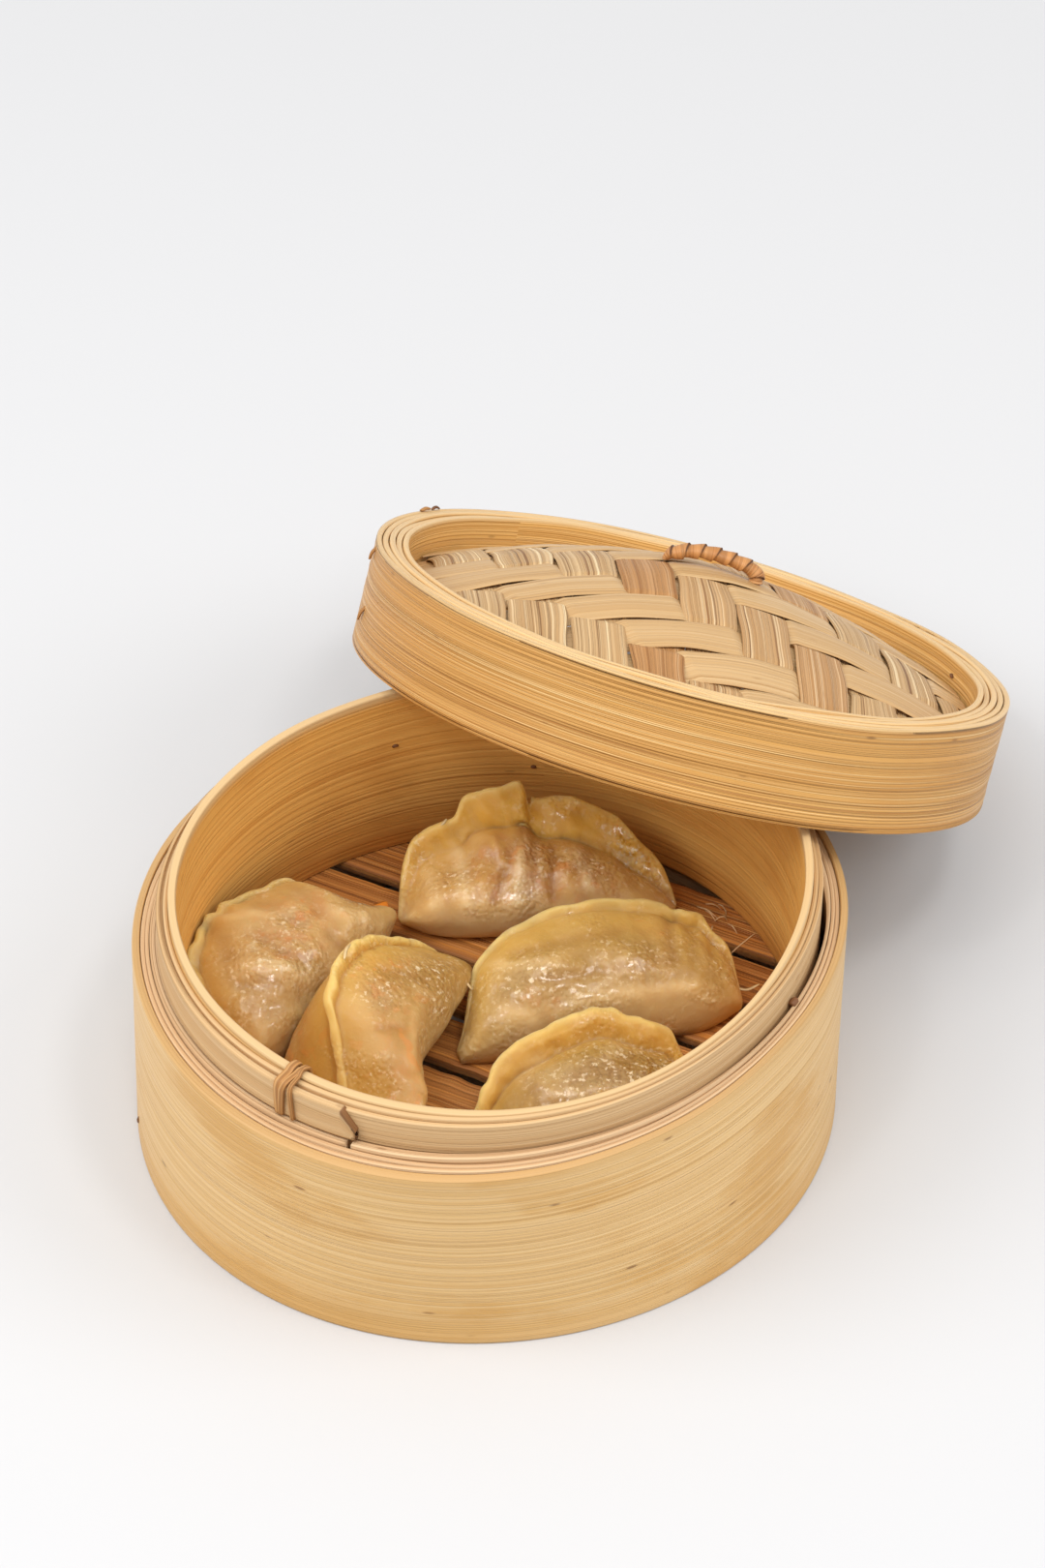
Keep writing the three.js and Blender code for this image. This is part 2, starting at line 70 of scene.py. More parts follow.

# %% [markdown]
# ## From rows of loops to a mesh
# A bent hoop, a woven strip and a dumpling have one thing in common: each is a row of closed loops,
# one after the other, with a skin between them. So one function can make them all. It also lays a flat
# map over the skin, in metres along and across the piece, because bamboo fibres run along a strip
# wherever it bends. Values such as a stain or a painted shade can be stored at each point for a finish
# to read.

# %% Skin a row of loops


def skin(rows, ring, along, across):
    rows = np.asarray(rows, float)
    count, size = rows.shape[:2]
    spans = count if ring else count - 1
    i, j = np.meshgrid(np.arange(spans), np.arange(size), indexing="ij")
    i, j = i.ravel(), j.ravel()
    i_next, j_next = (i + 1) % count, (j + 1) % size
    corners = [i * size + j, i * size + j_next, i_next * size + j_next, i_next * size + j]
    faces = np.stack(corners, 1).tolist()
    along, across = np.asarray(along, float), np.asarray(across, float)
    flat = np.stack([
        np.stack([along[i], across[j]], 1), np.stack([along[i], across[j + 1]], 1),
        np.stack([along[i + 1], across[j + 1]], 1), np.stack([along[i + 1], across[j]], 1),
    ], 1).reshape(-1, 2)
    if not ring:
        for row in (0, count - 1):
            faces.append([row * size + k for k in range(size)])
            flat = np.concatenate([flat, np.stack([np.full(size, along[row]), across[:size]], 1)])
    return to_metres(rows.reshape(-1, 3)), faces, flat


def loop_lengths(loop):
    edges = np.linalg.norm(np.diff(np.concatenate([loop, loop[:1]]), axis=0), axis=1)
    return np.concatenate([[0], np.cumsum(edges)]) / 1000


test_square = np.array([(0, 0, 0), (10, 0, 0), (10, 10, 0), (0, 10, 0)], float)
print("round a square of 10 mm:", loop_lengths(test_square)[-1], "m")

# %% [markdown]
# A skin becomes a piece when it has its mesh, its map and values, a finish, and its place in the frame:
# the body that it rides on, the slot of its material and the plain solids that it stands for.

# %% Make a piece


def make_piece(name, skins, material, nodes=(), values=None):
    points, faces, flats = [], [], []
    for part_points, part_faces, flat in skins:
        start = sum(len(p) for p in points)
        points.append(part_points)
        faces += [[start + k for k in face] for face in part_faces]
        flats.append(flat)
    mesh = bpy.data.meshes.new(name)
    mesh.from_pydata(np.concatenate(points).tolist(), [], faces)
    mesh.uv_layers.new(name="strip").data.foreach_set("uv", np.concatenate(flats).ravel())
    for label, numbers in (values or {}).items():
        mesh.attributes.new(label, "FLOAT", "POINT").data.foreach_set("value", np.ravel(numbers))
    tool = bmesh.new()
    tool.from_mesh(mesh)
    bmesh.ops.recalc_face_normals(tool, faces=tool.faces)
    tool.to_mesh(mesh)
    tool.free()
    mesh.shade_smooth()
    mesh.materials.append(material)
    piece = bpy.data.objects.new(name, mesh)
    bpy.context.scene.collection.objects.link(piece)
    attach(piece, "root")
    if nodes:
        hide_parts(*nodes)
    return piece


def make_turns(name, turns, material, node):
    stains_and_shade = np.concatenate([stain_and_shade.ravel() for _, stain_and_shade in turns])
    return make_piece(name, [skinned for skinned, _ in turns], material, [node], {"stain_and_shade": stains_and_shade})


def smoothstep(x, low, high):
    t = np.clip((x - low) / (high - low), 0, 1)
    return t * t * (3 - 2 * t)


print("half-way up a smooth step:", float(smoothstep(0.5, 0, 1)))

# %% [markdown]
# ## Uneven by hand
# Nothing here is machine made. Two small helpers give steady, seeded unevenness: one wavers along a
# line or round a hoop, the other makes soft lumps in space by adding plain waves that run in many
# directions. Both give the same answer on every run.

# %% Wavering lines and soft lumps


def waver(x, seed, lowest=2, highest=9, count=6):
    rng = np.random.default_rng(seed)
    total = np.zeros_like(np.asarray(x, float))
    for step in rng.integers(lowest, highest + 1, count):
        total += np.sin(step * x + rng.uniform(0, 2 * math.pi))
    return total / math.sqrt(count)


def lumps(points, size, seed, count=16):
    rng = np.random.default_rng(seed)
    total = np.zeros(points.shape[:-1])
    for _ in range(count):
        heading = rng.normal(size=3)
        heading /= np.linalg.norm(heading)
        wave = 2 * math.pi / size * rng.uniform(0.55, 1.4)
        total += np.sin(points @ heading * wave + rng.uniform(0, 2 * math.pi))
    return total / math.sqrt(count / 2)


print("waver at 1:", round(float(waver(np.array(1.0), 3)), 3))

# %% [markdown]
# ## Bamboo fibres as a shared node group
# Split bamboo is a bundle of straight fibres, so all its marks are long and thin: broad pale and deep
# bands, fine lines and here and there a dark one, with a few brown flecks. One node group makes these
# masks by stretching noise along the strip. Each finish then sets how many fibres it shows and mixes
# its own colours, so the basket, the lid and the floor look like kin without looking the same.

# %% Helpers for node groups


def new_group(name, inputs, outputs):
    group = bpy.data.node_groups.new(name, "ShaderNodeTree")
    for label, value in inputs.items():
        kind = "NodeSocketFloat" if isinstance(value, float) else "NodeSocketVector"
        group.interface.new_socket(label, in_out="INPUT", socket_type=kind).default_value = value
    for label in outputs:
        group.interface.new_socket(label, in_out="OUTPUT", socket_type="NodeSocketFloat")
    return group, group.nodes.new("NodeGroupInput"), group.nodes.new("NodeGroupOutput")


def feed(tree, socket, value):
    if isinstance(value, bpy.types.NodeSocket):
        tree.links.new(value, socket)
    else:
        socket.default_value = value


def math_node(tree, operation, first, second):
    node = tree.nodes.new("ShaderNodeMath")
    node.operation = operation
    feed(tree, node.inputs[0], first)
    feed(tree, node.inputs[1], second)
    return node.outputs[0]


def times(tree, first, second):
    return math_node(tree, "MULTIPLY", first, second)


print("node groups so far:", len(bpy.data.node_groups))

# %% [markdown]
# A mask is a number from 0 to 1 over the surface. A soft step turns noise into a mask, and a mask mixes
# one colour over another. The Mix node has sockets for numbers, vectors and colours, so the colour
# sockets are picked by their numbers.

# %% Masks, mixes and noise
MIX_FACTOR, MIX_FIRST_COLOUR, MIX_SECOND_COLOUR, MIX_RESULT = 0, 6, 7, 2


def span(tree, value, low, high, to_low=0.0, to_high=1.0):
    node = tree.nodes.new("ShaderNodeMapRange")
    node.interpolation_type = "SMOOTHSTEP"
    feed(tree, node.inputs["Value"], value)
    for label, number in (("From Min", low), ("From Max", high), ("To Min", to_low), ("To Max", to_high)):
        feed(tree, node.inputs[label], number)
    return node.outputs["Result"]


def put_out(group, leave, masks):
    for label, (value, low, high) in masks.items():
        group.links.new(span(group, value, low, high), leave.inputs[label])


def mix_colour(tree, amount, first, second):
    node = tree.nodes.new("ShaderNodeMix")
    node.data_type = "RGBA"
    feed(tree, node.inputs[MIX_FACTOR], amount)
    feed(tree, node.inputs[MIX_FIRST_COLOUR], first)
    feed(tree, node.inputs[MIX_SECOND_COLOUR], second)
    return node.outputs[MIX_RESULT]


def noise(tree, vector, scale=1.0, detail=2.0, roughness=0.5):
    node = tree.nodes.new("ShaderNodeTexNoise")
    feed(tree, node.inputs["Vector"], vector)
    node.inputs["Scale"].default_value = scale
    node.inputs["Detail"].default_value = detail
    node.inputs["Roughness"].default_value = roughness
    return node.outputs["Fac"]

# %% The fibre group
MARKS_ALONG, MARKS_ACROSS = 90.0, 330.0


def build_fibre_group():
    group, enter, leave = new_group(
        "bamboo_fibres", {"Along": 0.0, "Across": 0.0, "Seed": 0.0, "Fineness": 900.0},
        ["Band", "Fibre", "Dark Line", "Fleck", "Blotch", "Light Line"])
    along, across, seed, fineness = (enter.outputs[k] for k in ("Along", "Across", "Seed", "Fineness"))

    def stretched(run, width, shift):
        node = group.nodes.new("ShaderNodeCombineXYZ")
        place = (times(group, along, run), times(group, across, width), math_node(group, "ADD", seed, shift))
        for socket, value in zip(node.inputs, place):
            feed(group, socket, value)
        return node.outputs[0]

    quarter, half = times(group, fineness, 0.25), times(group, fineness, 0.5)
    put_out(group, leave, {
        "Band": (noise(group, stretched(3.0, quarter, 0.0), detail=3.0), 0.3, 0.7),
        "Fibre": (noise(group, stretched(3.5, fineness, 3.1), detail=1.0), 0.36, 0.64),
        "Dark Line": (noise(group, stretched(2.6, half, 7.7), roughness=0.7), 0.57, 0.66),
        "Light Line": (noise(group, stretched(2.6, half, 17.9), roughness=0.7), 0.57, 0.66),
        "Blotch": (noise(group, stretched(16.0, 46.0, 11.3), detail=4.0, roughness=0.62), 0.5, 0.68)})
    cell = group.nodes.new("ShaderNodeTexVoronoi")
    cell.inputs["Scale"].default_value = 1.0
    feed(group, cell.inputs["Vector"], stretched(MARKS_ALONG, MARKS_ACROSS, 1.3))
    chance = group.nodes.new("ShaderNodeSeparateColor")
    group.links.new(cell.outputs["Color"], chance.inputs[0])
    picked = span(group, chance.outputs[0], 0.9, 0.92)
    near = span(group, cell.outputs["Distance"], 0.08, 0.22, 1.0, 0.0)
    group.links.new(times(group, picked, near), leave.inputs["Fleck"])
    return group


fibre_group = build_fibre_group()
print("fibre group:", len(fibre_group.nodes), "nodes")

# %% [markdown]
# ## Bamboo finishes
# The outer skin of the cane is smooth and pale, the inside is duller and more fibrous, and old steam
# turns both more golden. All these finishes share one recipe: pale and deep colours mixed by the broad
# bands, then blotches, fine fibres, light and dark lines, and flecks. Two values from the mesh come last:
# a stain for places that are browned by handling, which also carries painted shade in cracks, on cut
# ends and on one side of the lid, and "edge" for cut edges, which on the band's top is painted shade.
# The fibres also lift the surface a little through a bump. Colours are written as they look on a
# screen, from 0 to 255.

# %% Helpers for finishes


def srgb(red, green, blue):
    shares = [value / 255 for value in (red, green, blue)]
    linear = [c / 12.92 if c <= 0.04045 else ((c + 0.055) / 1.055) ** 2.4 for c in shares]
    return (*linear, 1.0)


def new_material(name):
    material = bpy.data.materials.new(name)
    material.use_nodes = True
    return material, material.node_tree, material.node_tree.nodes["Principled BSDF"]


def stored(tree, label):
    node = tree.nodes.new("ShaderNodeAttribute")
    node.attribute_name = label
    return node.outputs["Fac"]


def use_group(tree, group):
    node = tree.nodes.new("ShaderNodeGroup")
    node.node_tree = group
    return node


def set_sockets(node, values):
    for label, value in values.items():
        node.inputs[label].default_value = value


def lift_surface(tree, shader, height, distance, strength):
    bump = tree.nodes.new("ShaderNodeBump")
    set_sockets(bump, {"Distance": distance, "Strength": strength})
    tree.links.new(height, bump.inputs["Height"])
    tree.links.new(bump.outputs[0], shader.inputs["Normal"])


print("middle grey in linear light:", round(srgb(128, 128, 128)[0], 3))

# %% The bamboo recipe
FLECK_BROWN = (120, 72, 30)


def bamboo(name, pale, deep, line, light, fineness, seed, fibre, lines, flecks=0.5, roughness=0.5,
           bump=0.00015, sheen=0.1, blotch=0.0, stain_and_shade=None, edge=None):
    material, tree, shader = new_material(name)
    flat = tree.nodes.new("ShaderNodeUVMap")
    flat.uv_map = "strip"
    place = tree.nodes.new("ShaderNodeSeparateXYZ")
    tree.links.new(flat.outputs[0], place.inputs[0])
    marks = use_group(tree, fibre_group)
    tree.links.new(place.outputs[0], marks.inputs["Along"])
    tree.links.new(place.outputs[1], marks.inputs["Across"])
    set_sockets(marks, {"Seed": seed, "Fineness": fineness})
    colour = mix_colour(tree, marks.outputs["Band"], srgb(*pale), srgb(*deep))
    layers = (("Blotch", blotch, stain_and_shade or deep), ("Fibre", fibre, line), ("Light Line", lines, light),
              ("Dark Line", lines, line), ("Fleck", flecks, FLECK_BROWN))
    for label, amount, paint in layers:
        colour = mix_colour(tree, times(tree, marks.outputs[label], amount), colour, srgb(*paint))
    for label, paint in (("stain_and_shade", stain_and_shade), ("edge", edge)):
        if paint:
            colour = mix_colour(tree, stored(tree, label), colour, srgb(*paint))
    tree.links.new(colour, shader.inputs["Base Color"])
    gloss = span(tree, marks.outputs["Fibre"], 0.0, 1.0, roughness - 0.08, roughness + 0.1)
    tree.links.new(gloss, shader.inputs["Roughness"])
    height = math_node(tree, "SUBTRACT", marks.outputs["Fibre"], marks.outputs["Dark Line"])
    lift_surface(tree, shader, height, bump, 0.8)
    set_sockets(shader, {"Specular IOR Level": 0.35, "Coat Weight": sheen, "Coat Roughness": 0.35})
    return material

# %% Finishes of the wall
band_skin = bamboo(
    "band_skin", (227, 190, 133), (219, 179, 117), (190, 140, 75), (241, 214, 165), 2000, 1.0, fibre=0.25,
    lines=0.3, flecks=0.7, roughness=0.45, blotch=0.75, stain_and_shade=(206, 156, 82), edge=(198, 156, 100))
collar_wood = bamboo(
    "collar_wood", (214, 179, 131), (203, 164, 114), (176, 129, 78), (228, 198, 154), 1900, 4.0, fibre=0.3,
    lines=0.3, flecks=0.3, stain_and_shade=(128, 82, 42))
inner_wall = bamboo(
    "inner_wall", (236, 184, 101), (232, 176, 92), (210, 143, 61), (246, 200, 119), 800, 8.0, fibre=0.12,
    lines=0.1, flecks=0.3, roughness=0.46, blotch=0.3, stain_and_shade=(184, 116, 44), edge=(212, 178, 128))
winding_wood = bamboo(
    "winding_wood", (227, 194, 152), (214, 175, 130), (170, 122, 74), (238, 210, 170), 1900, 12.0, fibre=0.3,
    lines=0.35, roughness=0.55, stain_and_shade=(150, 100, 52))
print("wall finishes:", [finish.name for finish in (band_skin, collar_wood, inner_wall, winding_wood)])

# %% [markdown]
# ## The basket's wall
# The wall is a stack of thin hoops: a smooth inner collar, a collar round it, wound strips, and a tall
# outer band. A lathe would give perfect circles, but these hoops were bent by hand, so each one
# follows a plan curve that is a little egg-shaped, and leans from its foot curve to its rim curve.

# %% Plan curves of the wall
FOOT_CURVE = (100.1, 0, 0, 0.004, 0.016, 0.002, -0.003)
BAND_CURVE = (100, 0.4, 0, 0.005, 0.036, 0.007, 0.018)
COLLAR_CURVE = (87.9, 2.3, 0.3, -0.001, 0.037, -0.009, 0.01)
WALL_THICKNESS = 12.4
BAND_RIM = (64.7, 0.1, -0.6)
COLLAR_RIM = (81.3, -0.9, 1.2)
OUTER_COLLAR_RIM = (77.9, -0.4, -1.8)
INNER_WINDING_RIM = (67.0, 0.1, -2.4)
OUTER_WINDING_RIM = (66.2, 0.1, -1.7)
FLOOR_TOP = 21.0
GAP = 0.3


def plan_point(curve, angle, inset):
    radius, x, y, cos2, sin2, cos3, sin3 = curve
    oval = cos2 * np.cos(2 * angle) + sin2 * np.sin(2 * angle)
    egg = cos3 * np.cos(3 * angle) + sin3 * np.sin(3 * angle)
    reach = (radius - inset) * (1 + oval + egg)
    return np.stack([x + reach * np.cos(angle), y + reach * np.sin(angle)], -1)


def wall_point(angle, depth, z):
    angle, depth, z = np.broadcast_arrays(np.asarray(angle, float), depth, z)
    low, high = (z / COLLAR_RIM[0])[..., None], (z / BAND_RIM[0])[..., None]
    inner_foot, outer_foot = plan_point(FOOT_CURVE, angle, WALL_THICKNESS), plan_point(FOOT_CURVE, angle, 0)
    inner = inner_foot * (1 - low) + plan_point(COLLAR_CURVE, angle, 0) * low
    outer = outer_foot * (1 - high) + plan_point(BAND_CURVE, angle, 0) * high
    share = (depth / WALL_THICKNESS)[..., None]
    return np.concatenate([inner * (1 - share) + outer * share, z[..., None]], -1)


def rim_level(rim, angle):
    return rim[0] + rim[1] * np.cos(angle) + rim[2] * np.sin(angle)


print("wall rises to", max(BAND_RIM[0], COLLAR_RIM[0]), "mm")

# %% [markdown]
# A hoop's edge is never sharp. Its section is a tall rectangle with rounded corners, and an extra line
# of points close to each corner keeps the flat faces flat under smooth shading.

# %% Rounded section of a hoop
GROOVE_DROP, GROOVE_WIDTH = 4.2, 0.5
MAP_RADIUS = 0.095


def hoop_section(near, far, soft, sides):
    close, bevel = soft + 0.8, 0.3 * soft
    outer_face = [(far, k / sides, 0) for k in range(1, sides)]
    inner_face = [(near, k / sides, 0) for k in range(sides - 1, 0, -1)]
    bottom = [(near + soft, 0, 0), (far - soft, 0, 0), (far - bevel, 0, bevel), (far, 0, soft),
              (far, 0, close)]
    top = [(far, 1, -close), (far, 1, -soft), (far - bevel, 1, -bevel), (far - soft, 1, 0),
           (near + soft, 1, 0), (near + bevel, 1, -bevel), (near, 1, -soft), (near, 1, -close)]
    heel = [(near, 0, close), (near, 0, soft), (near + bevel, 0, bevel)]
    return np.array(bottom + outer_face + top + inner_face + heel)


def closed(angles):
    return np.append(angles, angles[0] + 2 * math.pi)


def hoop(angles, depths, bottom, top, ring=True, soft=0.3, sides=10, slope=0.0, groove=0.0):
    near, far = (np.broadcast_to(d, angles.shape)[:, None] for d in depths)
    width = float((far - near).max())
    section = hoop_section(0.0, width, soft, sides)
    depth = near + section[None, :, 0] * (far - near) / width
    top = np.broadcast_to(top, angles.shape)[:, None] - slope * section[None, :, 0]
    bottom = np.broadcast_to(bottom, angles.shape)[:, None]
    z = bottom + section[None, :, 1] * (top - bottom) + section[None, :, 2]
    if groove:
        on_face = (np.abs(section[:, 0] - width) < 1e-6)[None, :]
        depth = depth - on_face * groove * np.exp(-(((top - z) - GROOVE_DROP) / GROOVE_WIDTH) ** 2)
    rows = wall_point(angles[:, None], depth, z)
    run = closed(angles) if ring else angles
    return skin(rows, ring, run * MAP_RADIUS, loop_lengths(rows[0])), z


def turn(steps, start=math.radians(80)):
    return start + np.arange(steps) * 2 * math.pi / steps


print("points round a hoop section:", len(hoop_section(0.0, 2.0, 0.3, 10)))

# %% [markdown]
# ## The tall outer band
# The band is the pale skin side of the cane. Its upper edge is sloped and browned, and the top of that
# edge is painted darker as painted shade. A fine groove runs just below it, and its foot is more golden
# where it has stood on damp tables. The browning and the painted shade are set from the height of each
# point as "stain" and "edge", so they follow the edges exactly.

# %% Outer band
OUTER_BAND = (10.2, 12.4)
BAND_PROUD = 1.0
around = turn(420)
band_top = rim_level(BAND_RIM, around) + BAND_PROUD + 0.18 * waver(around, 5, 3, 14)
band_skinned, band_z = hoop(around, OUTER_BAND, 0.0, band_top, soft=0.35, sides=26, slope=0.45, groove=0.3)
below_rim = band_top[:, None] - band_z
patch = 0.5 + 0.5 * waver(around, 21, 1, 5)[:, None]
foot_stain = 0.75 * (1 - smoothstep(band_z, 1, 20)) * (0.35 + 0.65 * patch)
rim_stain = 0.3 * (1 - smoothstep(below_rim, 2.0, 10.0)) * patch
# The top of the band's edge ("edge") is painted darker as painted shade.
band_marks = {"stain_and_shade": np.clip(foot_stain + rim_stain, 0, 0.9), "edge": 1 - smoothstep(below_rim, 0.6, 1.8)}
outer_band = make_piece("band", [band_skinned], band_skin, ["outer_band"], band_marks)
print("band points:", len(outer_band.data.vertices))

# %% [markdown]
# ## Wound strips on the ledge
# Between band and collar the photo shows the edges of several thin strips, side by side, with dark
# cracks between them. They are turns of one long strip, so no two edges are at the same height. Each
# turn is its own thin hoop here. The innermost one is split thinner on the right, which opens the dark
# groove seen there, and it starts and ends at a small slit on the front left.

# %% Wound strips
SLIT = math.radians(-112.6)
SLIT_HALF = 0.0085
GROOVE_SIDE = math.radians(-18)


def winding_turn(depths, rim, rise, seed, angles, ring=True):
    top = rim_level(rim, angles) + rise + 0.2 * waver(angles, seed, 2, 11)
    skinned, z = hoop(angles, depths, 0.0, top, ring, soft=0.22, sides=8)
    # Below its top edge each turn is painted darker, as painted shade in the cracks between the turns.
    return skinned, np.clip(0.65 * smoothstep(top[:, None] - z, 0.3, 2.5), 0, 0.8)


outer_turns = [winding_turn((7.7, 8.75), OUTER_WINDING_RIM, -0.5, 31, turn(360)),
               winding_turn((8.8, 10.0), OUTER_WINDING_RIM, -1.1, 32, turn(360))]
make_turns("outer_strip", outer_turns, winding_wood, "outer_winding")
open_turn = np.linspace(SLIT + SLIT_HALF, SLIT + 2 * math.pi - SLIT_HALF, 360)
from_groove = np.angle(np.exp(1j * (open_turn - GROOVE_SIDE)))
thinned = 5.4 + 1.3 * np.exp(-(from_groove / 0.5) ** 4)
inner_turns = [winding_turn((thinned, 7.5), INNER_WINDING_RIM, -0.4, 33, open_turn, False)]
make_turns("inner_strip", inner_turns, winding_wood, "inner_winding")
print("turns of wound strip:", len(outer_turns) + len(inner_turns))

# %% [markdown]
# ## The collar and its lapped end
# The collar is what the lid closes over. Its inner layer is the smooth wall seen inside the basket, and
# the outer layer is two thinner turns that stop a little lower. The last turn is not glued: its end
# lies over the collar with one corner clipped, getting thinner toward the back. The cut end and the
# clipped corner are painted dark brown as painted shade, through a stain value of their own.

# %% Inner collar
inside_top = rim_level(COLLAR_RIM, around) + 0.15 * waver(around, 41, 2, 12)
inner_skinned, inner_z = hoop(around, (0, 2.2), FLOOR_TOP + GAP, inside_top, soft=0.4, sides=16)
# The inner wall is painted darker toward the floor.
darker_foot = 0.7 * (1 - smoothstep(inner_z, 22, 40))
pale_edge = smoothstep(inner_z, inside_top[:, None] - 3.5, inside_top[:, None] - 0.6)
make_piece("inner_collar_wall", [inner_skinned], inner_wall, ["inner_collar"],
           {"stain_and_shade": darker_foot, "edge": pale_edge})
print("collar rim at", round(float(inside_top.mean()), 1), "mm")

# %% Outer collar and its lapped end
LAP_END, LAP_RUN, LAP_CLIP = math.radians(-111.6), math.radians(118), math.radians(2.6)
LAP_BACK, LAP_THIN_FACE, LAP_GROWTH = 4.4, 4.7, 1.9


def collar_turn(depths, drop, seed):
    top = rim_level(OUTER_COLLAR_RIM, around) - drop + 0.15 * waver(around, seed, 2, 10)
    skinned, z = hoop(around, depths, FLOOR_TOP + GAP, top, soft=0.3, sides=10)
    return skinned, 0.25 * smoothstep(top[:, None] - z, 6, 14)


def lap_face(share):
    return LAP_THIN_FACE + LAP_GROWTH * share


def lap():
    angles = LAP_END - LAP_RUN * np.linspace(1, 0, 200) ** 1.6
    bottom = rim_level(INNER_WINDING_RIM, angles) + GAP
    full = rim_level(OUTER_COLLAR_RIM, angles) - 0.25
    clip = np.clip((LAP_END - angles) / LAP_CLIP, 0, 1)
    top = (bottom * 0.65 + full * 0.35) * (1 - clip) + full * clip
    section = hoop_section(0, 1, 0.12, 6)
    face = lap_face((angles - angles[0]) / LAP_RUN)
    depth = LAP_BACK + section[None, :, 0] * (face[:, None] - LAP_BACK)
    z = bottom[:, None] + section[None, :, 1] * (top - bottom)[:, None] + section[None, :, 2]
    rows = wall_point(angles[:, None], depth, z)
    # The cut end and the clipped corner are painted dark as painted shade.
    cut = smoothstep(angles, LAP_END - math.radians(0.5), LAP_END)[:, None]
    clipped = (clip < 1)[:, None] * smoothstep(section[None, :, 1], 0.7, 1.0)
    across = np.linspace(0, 0.03, len(section) + 1)
    return skin(rows, False, angles * MAP_RADIUS, across), 0.9 * np.maximum(cut, clipped)


collar_turns = [collar_turn((2.3, 3.6), 0.0, 42), collar_turn((3.66, 5.0), 1.1, 43), lap()]
make_turns("outer_collar_turns", collar_turns, collar_wood, "outer_collar")
print("turns of the collar:", len(collar_turns))

# %% [markdown]
# ## Rattan lashing
# Narrow strands of split rattan bind the lapped end to the collar. A strand is a ribbon that runs up
# the outside, over the rim and down inside, so it is a row of small rounded rectangles along that path.

# %% Path of a strand
rattan = bamboo(
    "rattan", (202, 148, 86), (180, 124, 66), (116, 70, 30), (218, 174, 116), 2600, 20.0, fibre=0.5,
    lines=0.5, flecks=0.0, roughness=0.55, bump=0.0001)


def strand_path(middle):
    outside = lap_face(1 - (LAP_END - middle) / LAP_RUN) + 0.1
    foot = float(rim_level(INNER_WINDING_RIM, middle)) + 0.6
    rim = float(rim_level(COLLAR_RIM, middle)) + 0.35
    low = float(rim_level(OUTER_COLLAR_RIM, middle)) + 0.2
    stops = np.array([
        (outside, foot), (outside + 0.15, foot + 5), (outside + 0.1, low - 1), (outside - 0.6, low + 0.6),
        (2.6, rim - 0.4), (1.6, rim + 0.25), (0.6, rim + 0.15), (-0.5, rim - 0.5), (-0.65, rim - 2),
        (-0.65, rim - 9), (-0.65, rim - 16)])
    fine = np.linspace(0, len(stops) - 1, 61)
    path = np.stack([np.interp(fine, range(len(stops)), stops[:, k]) for k in (0, 1)], 1)
    path[1:-1] = (path[:-2] + path[1:-1] + path[2:]) / 3
    return path


print("a strand has", len(strand_path(LAP_END)), "sections")

# %% Lashing strands
STRAND_SECTION = [(-1, 0.1), (-0.7, 0.0), (0.7, 0.0), (1, 0.1), (1, 0.5), (0.75, 0.85), (0, 0.95),
                  (-0.75, 0.85), (-1, 0.5)]
STRAND_THICKNESS, COLLAR_RADIUS = 0.9, 92
LASHINGS = {1: [(-126.0, 2.6, 1.0)], 2: [(-124.4, 1.9, -1.6), (-124.0, 1.2, 2.4)]}


def strand(degrees, width, lean):
    middle = math.radians(degrees)
    path = strand_path(middle)
    tangent = np.gradient(path, axis=0)
    out = np.stack([tangent[:, 1], -tangent[:, 0]], 1) / np.linalg.norm(tangent, axis=1)[:, None]
    swing = middle + math.radians(lean) * (0.5 - np.linspace(0, 1, len(path)))
    rows = []
    for spot, normal, place in zip(path, out, swing):
        sideways = np.array([place + x * width / 2 / COLLAR_RADIUS for x, _ in STRAND_SECTION])
        raised = np.array([spot + normal * lift * STRAND_THICKNESS for _, lift in STRAND_SECTION])
        rows.append(wall_point(sideways, raised[:, 0], raised[:, 1]))
    across = np.linspace(0, 0.006, len(STRAND_SECTION) + 1)
    return skin(np.array(rows), False, np.linspace(0, 0.04, len(path)), across)


for number, strands in LASHINGS.items():
    skins = [strand(*sizes) for sizes in strands]
    make_piece(f"rattan_strand_{number}", skins, rattan, [f"lashing_{number}"])
print("lashing strands:", sum(len(v) for v in LASHINGS.values()))

# %% [markdown]
# ## Floor slats
# The dumplings lie on split slats with open gaps for the steam. A slat is sawn on two sides and split
# on the others, so its edges are softly rounded, its width wavers, and its fibres show strongly. The
# ends follow the curve of the wall that they are set into.

# %% Reach of a slat
slat_wood = bamboo(
    "slat_wood", (214, 144, 70), (176, 110, 46), (98, 50, 16), (240, 182, 104), 1400, 30.0, fibre=0.45,
    lines=0.6, flecks=0.2, roughness=0.55, bump=0.0003, sheen=0.2)
SLAT_ANGLE = math.radians(-27)
SLAT_CENTRES = -66.4 + 20.32 * np.arange(8)
SLAT_WIDTH, SLAT_THICKNESS = 16.4, 3.5
SLAT_END_DEPTH = 7.1
slat_along = np.array([math.cos(SLAT_ANGLE), math.sin(SLAT_ANGLE)])
slat_across = np.array([-slat_along[1], slat_along[0]])


def slat_reach(offset, sign):
    inside, outside = 0.0, 200.0
    for _ in range(40):
        reach = (inside + outside) / 2
        spot = slat_across * offset + slat_along * sign * reach
        wall = wall_point(math.atan2(spot[1], spot[0]), SLAT_END_DEPTH, FLOOR_TOP)
        if np.hypot(*spot) < np.hypot(wall[0], wall[1]):
            inside = reach
        else:
            outside = reach
    return inside


print("longest slat:", round(slat_reach(0, -1) + slat_reach(0, 1), 1), "mm")

